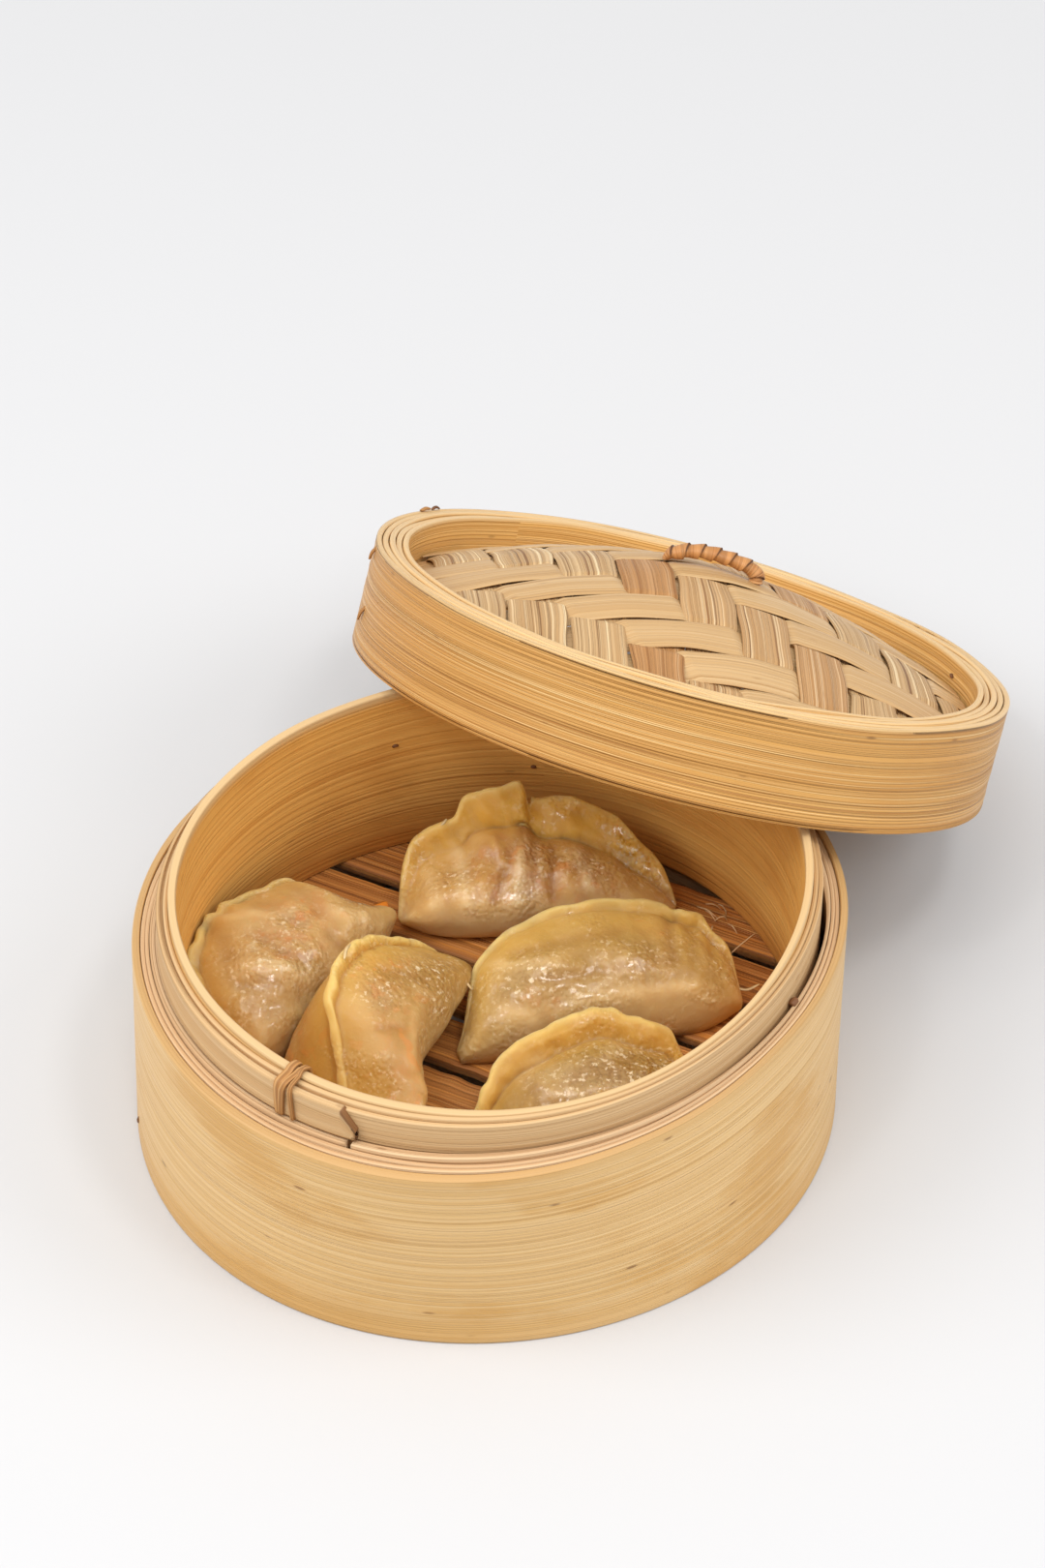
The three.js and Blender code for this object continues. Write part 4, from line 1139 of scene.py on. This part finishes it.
# %% Finishes of the hoop
lid_face = bamboo(
    "lid_face", (214, 164, 92), (205, 152, 80), (162, 106, 46), (250, 214, 150), 2300, 40.0, fibre=0.35,
    lines=0.65, flecks=0.6, roughness=0.45, bump=0.0003, blotch=0.3, stain_and_shade=(196, 136, 62),
    edge=(228, 190, 134))
lid_wood = bamboo(
    "lid_wood", (230, 182, 108), (216, 164, 88), (178, 122, 60), (242, 202, 136), 2200, 44.0, fibre=0.3,
    lines=0.45, flecks=0.5, roughness=0.48, stain_and_shade=(160, 108, 52), edge=(226, 189, 134))
print("hoop finishes:", lid_face.name, lid_wood.name)

# %% [markdown]
# The two outer layers reach down as a skirt that closes over the basket's collar, and the inner ones
# stop where the woven dome is set in. Only the outermost layer is ribbed, and its side that faces left
# is painted darker as painted shade.

# %% Wound layers of the hoop
SKIRT_LAYERS, SKIRT_FOOT, INNER_FOOT = 2, -31.9, -14.0
LAYER_DROP, RIB_DEPTH, RIB_PITCH = 0.35, 0.09, 4.3
PAINTED_SHADE_SIDE, PAINTED_SHADE_WIDTH = 140, 28


def lid_layer(number):
    outermost = number == 0
    angles = turn(420, math.radians(60))
    outer = LID_RADIUS - number * LID_LAYER_PITCH
    inner = outer - LID_LAYER_PITCH + GAP
    top = -LAYER_DROP * (outermost or number % 2) + 0.2 * waver(angles, 70 + number, 2, 13)
    bottom = SKIRT_FOOT + number * GAP if number < SKIRT_LAYERS else INNER_FOOT
    section = hoop_section(inner, outer, 0.35, 44 if outermost else 10)
    z = bottom + section[None, :, 1] * (top[:, None] - bottom) + section[None, :, 2]
    radius = np.broadcast_to(section[None, :, 0], z.shape).copy()
    if outermost:
        on_face = (np.abs(section[:, 0] - outer) < 1e-6)[None, :]
        rib = np.sin(z * RIB_PITCH + 0.5 * waver(angles, 81, 1, 4)[:, None]) * waver(z * 0.9, 82, 1, 5)
        radius += on_face * RIB_DEPTH * (rib - 1)
    reach = lid_radius(radius, angles[:, None])
    rows = np.stack([reach * np.cos(angles[:, None]), reach * np.sin(angles[:, None]), z], -1)
    skinned = skin(from_lid(rows), True, closed(angles) * MAP_RADIUS + number, loop_lengths(rows[0]))
    low_edge = 0.5 * (1 - smoothstep(z - bottom, 0.5, 4)) * (0.5 + 0.5 * waver(angles, 85, 1, 5)[:, None])
    # The outermost layer's side that faces left is painted darker as painted shade.
    painted_shade_side = np.exp(-((np.degrees(angles)[:, None] - PAINTED_SHADE_SIDE) / PAINTED_SHADE_WIDTH) ** 2) * outermost
    pale_edge = smoothstep(z, top[:, None] - 1.2, top[:, None] - 0.2)
    return skinned, {"stain_and_shade": np.clip(low_edge + 0.5 * painted_shade_side, 0, 0.8), "edge": pale_edge}


for number in range(LID_LAYERS):
    skinned, marks = lid_layer(number)
    make_piece(f"lid_turn_{number + 1}", [skinned], lid_face if number == 0 else lid_wood,
               [f"lid_layer_{number + 1}"], marks)
print("lid layers:", LID_LAYERS)

# %% [markdown]
# ## The woven dome
# The dome is a twill: every strip goes over two and under two, and each row starts one strip further.
# The strips that run across are smooth and pale, the others are split so thin that their fibres show.
# A texture of a weave would look flat from the side, so each strip is a ribbon of its own that rises
# and dives, a little crowned where it floats over two others.

# %% Sizes of the weave
DOME_APEX, DOME_EDGE, DOME_RADIUS, DOME_POWER = 13.0, -11.0, 88.0, 1.65
ACROSS = dict(angle=math.radians(-52), first=-77.9, pitch=15.3, count=11, width=14.5)
ALONG = dict(angle=math.radians(31), first=-81.2, pitch=16.6, count=10, width=15.8)
STRIP_LIFT, STRIP_THICKNESS, WEAVE_REACH = 0.56, 0.7, 81.0
TWILL_STEP, TWILL_FLOAT, TWILL_START = 4, 2, 41


def dome_height(x, y):
    return DOME_APEX - (DOME_APEX - DOME_EDGE) * (np.hypot(x, y) / DOME_RADIUS) ** DOME_POWER


def weave_point(across_offset, along_offset):
    a, b = ACROSS["angle"], ALONG["angle"]
    skew = math.sin(b - a)
    return ((across_offset * math.cos(b) - along_offset * math.cos(a)) / skew,
            (across_offset * math.sin(b) - along_offset * math.sin(a)) / skew)


def inside_dome(x, y):
    return np.hypot(x, y) < lid_radius(LID_RADIUS - LID_LAYERS * LID_LAYER_PITCH, np.arctan2(y, x)) - GAP


def across_is_over(across_number, along_number):
    return (along_number - across_number + TWILL_START) % TWILL_STEP < TWILL_FLOAT


print("dome stands", DOME_APEX - DOME_EDGE, "mm high")

# %% Ribbons of the weave
RIBBON_SHARES = np.array([0, 0.03, 0.12, 0.35, 0.5, 0.65, 0.88, 0.97, 1.0])
RIBBON_ROUND = np.array([0.35, 0.75, 1, 1, 1, 1, 1, 0.75, 0.35])
RIBBON_MIDDLE = len(RIBBON_SHARES) // 2
CROWN, CUP = 0.55, 0.25
CROWN_SPAN = 49


def strip_lift(s, other, signs):
    centres = other["first"] + other["pitch"] * np.arange(other["count"])
    lift = np.full_like(s, float(signs[0]))
    for k in range(other["count"] - 1):
        middle = (centres[k] + centres[k + 1]) / 2
        lift += (signs[k + 1] - signs[k]) * smoothstep(s, middle - 2.0, middle + 2.0)
    padded = np.pad(lift, CROWN_SPAN // 2, mode="edge")
    crown = np.convolve(padded, np.ones(CROWN_SPAN) / CROWN_SPAN, mode="valid")
    return STRIP_LIFT * lift + CROWN * np.sign(lift) * np.clip(np.abs(crown) - 0.3, 0, 1)


def ribbon(own, other, number, place, signs, seed):
    centre = own["first"] + number * own["pitch"]
    low, high = np.clip([centre - own["width"] / 2, centre + own["width"] / 2], -WEAVE_REACH, WEAVE_REACH)
    offsets = low + (high - low) * RIBBON_SHARES
    steps = np.linspace(0, 1, 260)
    line = np.linspace(-120, 120, 2401)
    columns = []
    for offset in offsets:
        kept = line[inside_dome(*place(offset, line))]
        columns.append(kept[0] + (kept[-1] - kept[0]) * steps)
    s = np.stack(columns, 1)
    sided = (2 * RIBBON_SHARES - 1)[None, :]
    x, y = place(offsets[None, :] + 0.35 * waver(s / 16, seed, 1, 4) * sided, s)
    lift = strip_lift(s[:, RIBBON_MIDDLE], other, signs)[:, None]
    middle = dome_height(x, y) + lift + CUP * (1 - sided ** 2)
    thick = STRIP_THICKNESS / 2 * RIBBON_ROUND[None, :]
    top, under = np.stack([x, y, middle + thick], -1), np.stack([x, y, middle - thick], -1)
    rows = np.concatenate([top, under[:, ::-1]], 1)
    along = (s[:, RIBBON_MIDDLE] + 100) / 1000 + 0.31 * seed
    across = np.concatenate([RIBBON_SHARES, 2 - RIBBON_SHARES[::-1], [2]]) * (high - low) / 1000 + 0.07 * seed
    return skin(from_lid(rows), False, along, across)


print("points round a ribbon:", 2 * len(RIBBON_SHARES))

# %% Weave the strips
pale_strip = bamboo(
    "pale_strip", (206, 171, 122), (197, 158, 106), (168, 121, 68), (228, 196, 148), 1300, 50.0, fibre=0.3,
    lines=0.4, flecks=0.3, stain_and_shade=(190, 140, 86))
fibrous_strip = bamboo(
    "fibrous_strip", (216, 182, 133), (202, 163, 111), (134, 88, 44), (246, 220, 174), 1700, 54.0, fibre=0.35,
    lines=0.9, flecks=0.2, roughness=0.6, bump=0.0004, stain_and_shade=(176, 118, 62))
BROWN_STRIPS = {3: 0.5, 4: 0.3, 5: 0.25, 6: 0.7}
LIGHT_STAIN = 0.05
ACROSS_SEEDS, ALONG_SEEDS = 200, 230


def along_point(own, other):
    return weave_point(other, own)


for number in range(ACROSS["count"]):
    over = [1 if across_is_over(number, k) else -1 for k in range(ALONG["count"])]
    skinned = ribbon(ACROSS, ALONG, number, weave_point, over, ACROSS_SEEDS + number)
    make_piece(f"strip_across_{number + 1}", [skinned], pale_strip,
               [f"weave_across_{number + 1}"])
for number in range(ALONG["count"]):
    over = [-1 if across_is_over(k, number) else 1 for k in range(ACROSS["count"])]
    skinned = ribbon(ALONG, ACROSS, number, along_point, over, ALONG_SEEDS + number)
    shade = np.full(len(skinned[0]), BROWN_STRIPS.get(number, LIGHT_STAIN))
    make_piece(f"strip_along_{number + 1}", [skinned], fibrous_strip,
               [f"weave_along_{number + 1}"], {"stain_and_shade": shade})
print("strips:", ACROSS["count"] + ALONG["count"])

# %% [markdown]
# ## The wrapped handle
# The handle is a short arch of cane with a flat strip wound round it, each turn lapping the one before.
# A spring-shaped strip would need many loops; instead the arch is one tube whose thickness follows a
# saw-tooth that climbs round it, so the laps slant as real ones do.

# %% Arch of the handle
handle_cane = bamboo(
    "handle_cane", (208, 150, 92), (190, 128, 70), (128, 80, 40), (224, 172, 112), 1500, 60.0, fibre=0.4,
    lines=0.4, flecks=0.2, stain_and_shade=(84, 48, 22))
HANDLE_CENTRE, HANDLE_ANGLE = (3.5, -0.5), math.radians(-64)
HANDLE_HALF_SPAN, HANDLE_RISE, HANDLE_FOOT = 14.0, 4.0, 1.5


def handle_arch(sweep):
    power = 1 - 0.45 * smoothstep(sweep, 1.2, 2.2)
    reach = -HANDLE_HALF_SPAN * np.sign(np.cos(sweep)) * np.abs(np.cos(sweep)) ** power
    x = HANDLE_CENTRE[0] + reach * math.cos(HANDLE_ANGLE)
    y = HANDLE_CENTRE[1] + reach * math.sin(HANDLE_ANGLE)
    return np.concatenate([x, y, dome_height(x, y) + HANDLE_FOOT + HANDLE_RISE * np.sin(sweep) ** power], 1)


print("handle spans", 2 * HANDLE_HALF_SPAN, "mm")

# %% Wrapped handle
HANDLE_WRAPS = 7
CANE_THIN, CANE_LAP, CANE_WIDER, LAP_GAP = 1.75, 0.7, 1.25, 0.06


def handle():
    sweep = np.linspace(0, math.pi, 300)[:, None]
    round_ = np.linspace(0, 2 * math.pi, 44, endpoint=False)[None, :]
    centre = handle_arch(sweep)
    step = np.gradient(centre, axis=0)
    run = np.cumsum(np.linalg.norm(step, axis=1))[:, None]
    sideways = np.array([-math.sin(HANDLE_ANGLE), math.cos(HANDLE_ANGLE), 0])
    outward = np.cross(step / np.linalg.norm(step, axis=1)[:, None], sideways)
    lap_share = (HANDLE_WRAPS * run / run[-1] + round_ / (2 * math.pi)) % 1.0
    thick = (CANE_THIN + CANE_LAP * lap_share) * (0.4 + 0.6 * smoothstep(sweep, 0.0, 0.7))
    rows = (centre[:, None] + outward[:, None] * (thick * np.sin(round_))[..., None]
            + sideways * (CANE_WIDER * thick * np.cos(round_))[..., None])
    gap = np.exp(-(np.minimum(lap_share, 1 - lap_share) / LAP_GAP) ** 2)
    stain_and_shade = np.clip(gap, 0, 0.95) * (0.3 + 0.7 * smoothstep(np.sin(round_), -0.4, 0.5))
    across = np.linspace(0, 0.018, round_.shape[1] + 1)
    points, faces, flat = skin(from_lid(rows), False, np.linspace(0, 0.034, len(rows)), across)
    return (points, faces, flat[:, ::-1].copy()), stain_and_shade


skinned, stain_and_shade = handle()
make_piece("wrapped_handle", [skinned], handle_cane, ["lid_handle"], {"stain_and_shade": stain_and_shade})
print("handle wraps:", HANDLE_WRAPS)

# %% [markdown]
# ## Shreds, stubs and loose fibres
# Cooking leaves traces: a carrot cube that slipped out, pale cabbage shreds stuck to the dough, frayed
# fibres at a slat's end, cut ends of cane on the lid, and small knots, a chip and a crack in the bamboo.
# A peg hole on the ledge is a dark brown rod of painted shade.
# They are all thin tapered rods, so one helper bends a rod through a few points. On a dumpling its
# points are given on the dumpling's own plane, on the wall by angle, depth and height.

# %% Slivers


def sliver(stops, radius, taper, sides=7, flat=1.0):
    u = np.linspace(0, 1, 5 * len(stops))
    path = curve_through(stops, u)
    tangent = np.gradient(path, axis=0)
    tangent /= np.linalg.norm(tangent, axis=1)[:, None]
    side = np.cross(tangent, (0.1, 0.2, 1.0))
    side /= np.linalg.norm(side, axis=1)[:, None]
    lift = np.cross(side, tangent)
    spin = np.linspace(0, 2 * math.pi, sides, endpoint=False)
    thick = radius * (1 - (1 - taper) * np.abs(2 * u - 1) ** 3)
    rows = path[:, None] + thick[:, None, None] * (np.cos(spin)[None, :, None] * side[:, None]
                                                   + flat * np.sin(spin)[None, :, None] * lift[:, None])
    length = np.linalg.norm(np.diff(path, axis=0), axis=1).sum() / 1000
    return skin(rows, False, u * length, np.linspace(0, 6.3 * radius / 1000, sides + 1))


def plain_paint(name, colour, roughness, wet=0.0):
    material, tree, shader = new_material(name)
    pale = srgb(*colour)
    darker = tuple(0.7 * c for c in pale[:3]) + (1.0,)
    tree.links.new(mix_colour(tree, place_marks(tree)["Soft"], pale, darker), shader.inputs["Base Color"])
    set_sockets(shader, {"Roughness": roughness, "Coat Weight": wet})
    return material


carrot = plain_paint("carrot", (226, 134, 42), 0.35, 0.6)
cabbage = plain_paint("cabbage", (224, 194, 138), 0.35, 0.6)
loose_fibre = plain_paint("loose_fibre", (222, 186, 136), 0.6)
knot_and_shade_brown = plain_paint("knot_and_shade_brown", (122, 76, 38), 0.6)
print("finishes of small things:", [m.name for m in (carrot, cabbage, loose_fibre, knot_and_shade_brown)])

# %% Carrot and cabbage


def on_dumpling(place, *points):
    return lay_down(np.asarray(points, float), GYOZA[place])


carrot_points = on_dumpling("left", (35, 7, 2), (37, 6, 2.2), (39, 5.5, 2))
make_piece("carrot_bit", [sliver(carrot_points, 1.5, 0.85, 5)], carrot)
shreds = [on_dumpling("right", (-38.5, 21, 1.5), (-36.8, 19, 2.4), (-35.2, 16.5, 2.0)),
          on_dumpling("front_left", (5, 38, 2.0), (8, 39, 1.8), (11, 38.6, 1.6)),
          on_dumpling("right", (39, 8, 2), (43, 6, 2.5), (47, 7, 3.0)),
          on_dumpling("back", (-27.5, 28.6, 1.4), (-26, 29.4, 1.8), (-24.5, 31, 1.6))]
make_piece("cabbage_shreds", [sliver(points, 0.55, 0.4, 6, 0.6) for points in shreds], cabbage)
print("shreds:", len(shreds))

# %% Frayed fibres
FRAYED_END = np.array([70, 50, FLOOR_TOP + 0.2])
chance = np.random.default_rng(7)
frays = []
for _ in range(9):
    start = FRAYED_END + chance.normal(size=3) * (2.0, 2.0, 0.1)
    heading = chance.normal(size=3) * (4, 4, 1.0) + (0, 0, 1.5)
    frays.append([start, start + heading * 0.5 + (0, 0, 1.0), start + heading])
frays.append([(70, 34, FLOOR_TOP + 0.4), (74, 37, FLOOR_TOP + 2.5), (78, 39, FLOOR_TOP + 5)])
make_piece("frayed_fibres", [sliver(points, 0.22, 0.3, 5) for points in frays], loose_fibre)
print("loose fibres:", len(frays))

# %% Cut ends and knots on the lid


def on_lid(*places):
    points = []
    for degrees, radius, height in places:
        angle = math.radians(degrees)
        reach = lid_radius(radius, angle)
        points.append(from_lid((reach * math.cos(angle), reach * math.sin(angle), height)))
    return points


ends = [on_lid((117, 98.3, -2), (116.8, 99.2, -3.5), (116.4, 99.6, -6)),
        on_lid((121, 98.3, -18.5), (120.8, 99.3, -20.5), (120.4, 99.6, -23)),
        on_lid((83, 97.6, 0.1), (81.5, 97.4, 0.7), (80.2, 97.4, 0.5))]
make_piece("cut_cane_ends", [sliver(points, 0.8, 0.7, 6, 0.6) for points in ends], rattan)
knots = [on_lid((79.4, 97.4, 0.1), (78.2, 97.4, 0.8), (77, 97.4, 0.2)),
         on_lid((-49, 88.2, -4.6), (-49.5, 88.1, -5), (-50, 88.2, -5.4))]
make_piece("lid_knots", [sliver(points, 0.6, 0.5, 7, 0.7) for points in knots], knot_and_shade_brown)
print("cut ends:", len(ends), "knots:", len(knots))

# %% Marks of the wall


def on_wall(*places):
    return [wall_point(math.radians(degrees), depth, height) for degrees, depth, height in places]


def on_ledge(depths, degrees, rises):
    levels = [float(rim_level(INNER_WINDING_RIM, math.radians(a))) - 0.35 for a in degrees]
    heights = [level + rise for level, rise in zip(levels, rises)]
    return on_wall(*zip(degrees, depths, heights))


crack_angles = np.linspace(-141, -126.4, 9)
wall_knots = [on_wall((109, 0.05, 61.5), (109.6, -0.05, 61.8), (110.3, 0.05, 61.6)),
              on_wall((81.6, 0.05, 47.4), (82, -0.05, 47.6), (82.6, 0.05, 47.5))]
chip = on_wall((-169.3, 12.3, 5.4), (-169, 12.5, 7), (-168.8, 12.3, 8.6))
# The peg hole is a dark brown rod of painted shade.
peg_hole = on_ledge((6.3, 6.4, 6.4), (-22.9, -22, -21.2), (0, 0.2, 0))
crack = on_ledge([5.2] * len(crack_angles), crack_angles, [0] * len(crack_angles))
wall_marks = [sliver(points, 0.6, 0.5) for points in wall_knots]
wall_marks += [sliver(chip, 0.5, 0.5), sliver(peg_hole, 1.2, 0.8), sliver(crack, 0.4, 0.1)]
make_piece("wall_marks", wall_marks, knot_and_shade_brown)
print("marks of the wall:", len(wall_marks))

# %% [markdown]
# ## Camera, floor and light
# The camera stands where the photo was taken: a long lens, looking down at about forty degrees. The
# floor is a plain pale sheet. Large soft lights from above and from both sides keep the shadows gentle,
# and three small ones near the camera's side give the wet dough its glints. The plain view transform
# keeps the colours as measured.

# %% Camera
VIEW_DOWN, VIEW_ROLL, VIEW_DISTANCE = math.radians(41.48), math.radians(0.101), 1597.62
VIEW_TARGET = np.array([10.239, 0.0, 118.134])
FOCAL_PIXELS, PHOTO_HEIGHT, SENSOR_HEIGHT = 6000, 1620, 36.0
forward = np.array([0, math.cos(VIEW_DOWN), -math.sin(VIEW_DOWN)])
right = np.array([1.0, 0, 0])
up = np.cross(right, forward)
view_right = right * math.cos(VIEW_ROLL) + up * math.sin(VIEW_ROLL)
view_up = up * math.cos(VIEW_ROLL) - right * math.sin(VIEW_ROLL)
lens = bpy.data.cameras.new("still_camera")
lens.sensor_fit = "VERTICAL"
lens.sensor_height = SENSOR_HEIGHT
lens.lens = FOCAL_PIXELS / PHOTO_HEIGHT * SENSOR_HEIGHT
lens.clip_end = 20.0
camera = bpy.data.objects.new("still_camera", lens)
bpy.context.scene.collection.objects.link(camera)
turned = np.eye(4)
turned[:3, 0], turned[:3, 1], turned[:3, 2] = view_right, view_up, -forward
turned[:3, 3] = to_metres(VIEW_TARGET - forward * VIEW_DISTANCE)
camera.matrix_world = Matrix(turned.tolist())
bpy.context.scene.camera = camera
print("camera at", np.round(turned[:3, 3], 3))

# %% Floor
FLOOR_HALF = 6.0
floor_mesh = bpy.data.meshes.new("pale_floor")
corners = [(FLOOR_HALF * x, FLOOR_HALF * y, 0) for x, y in ((-1, -1), (1, -1), (1, 1), (-1, 1))]
floor_mesh.from_pydata(corners, [], [(0, 1, 2, 3)])
floor_paint, _, floor_shader = new_material("pale_paper")
set_sockets(floor_shader, {"Base Color": srgb(206, 206, 207), "Roughness": 0.9})
floor_mesh.materials.append(floor_paint)
floor = bpy.data.objects.new("pale_floor", floor_mesh)
bpy.context.scene.collection.objects.link(floor)
floor.location.z = -0.0002
print("floor is", 2 * FLOOR_HALF, "m wide")

# %% Lights
LIGHT_AIM = Vector((0, 0, 0.05))
LIGHTS = {
    "main_light": ((-0.45, -0.65, 2.1), 1.4, 11.5),
    "glint_light": ((0.5, -0.5, 1.8), 0.35, 5.0),
    "front_glint": ((0.15, -1.35, 1.45), 0.2, 1.8),
    "left_glint": ((-0.6, -0.75, 1.7), 0.2, 1.8),
    "left_light": ((-1.4, -0.3, 1.3), 1.2, 13.0),
    "right_light": ((1.4, -0.3, 1.3), 1.2, 10.0)}
WORLD_LIGHT = 0.74


def soft_light(name, place, size, power):
    lamp = bpy.data.lights.new(name, "AREA")
    lamp.shape = "DISK"
    lamp.size = size
    lamp.energy = power
    holder = bpy.data.objects.new(name, lamp)
    bpy.context.scene.collection.objects.link(holder)
    holder.location = place
    holder.rotation_euler = (LIGHT_AIM - Vector(place)).to_track_quat("-Z", "Y").to_euler()


for name, sizes in LIGHTS.items():
    soft_light(name, *sizes)
world = bpy.context.scene.world or bpy.data.worlds.new("studio")
bpy.context.scene.world = world
world.use_nodes = True
set_sockets(world.node_tree.nodes["Background"], {"Color": (1.0, 1.0, 1.0, 1.0), "Strength": WORLD_LIGHT})
bpy.context.scene.view_settings.view_transform = "Standard"
print("lights:", list(LIGHTS))
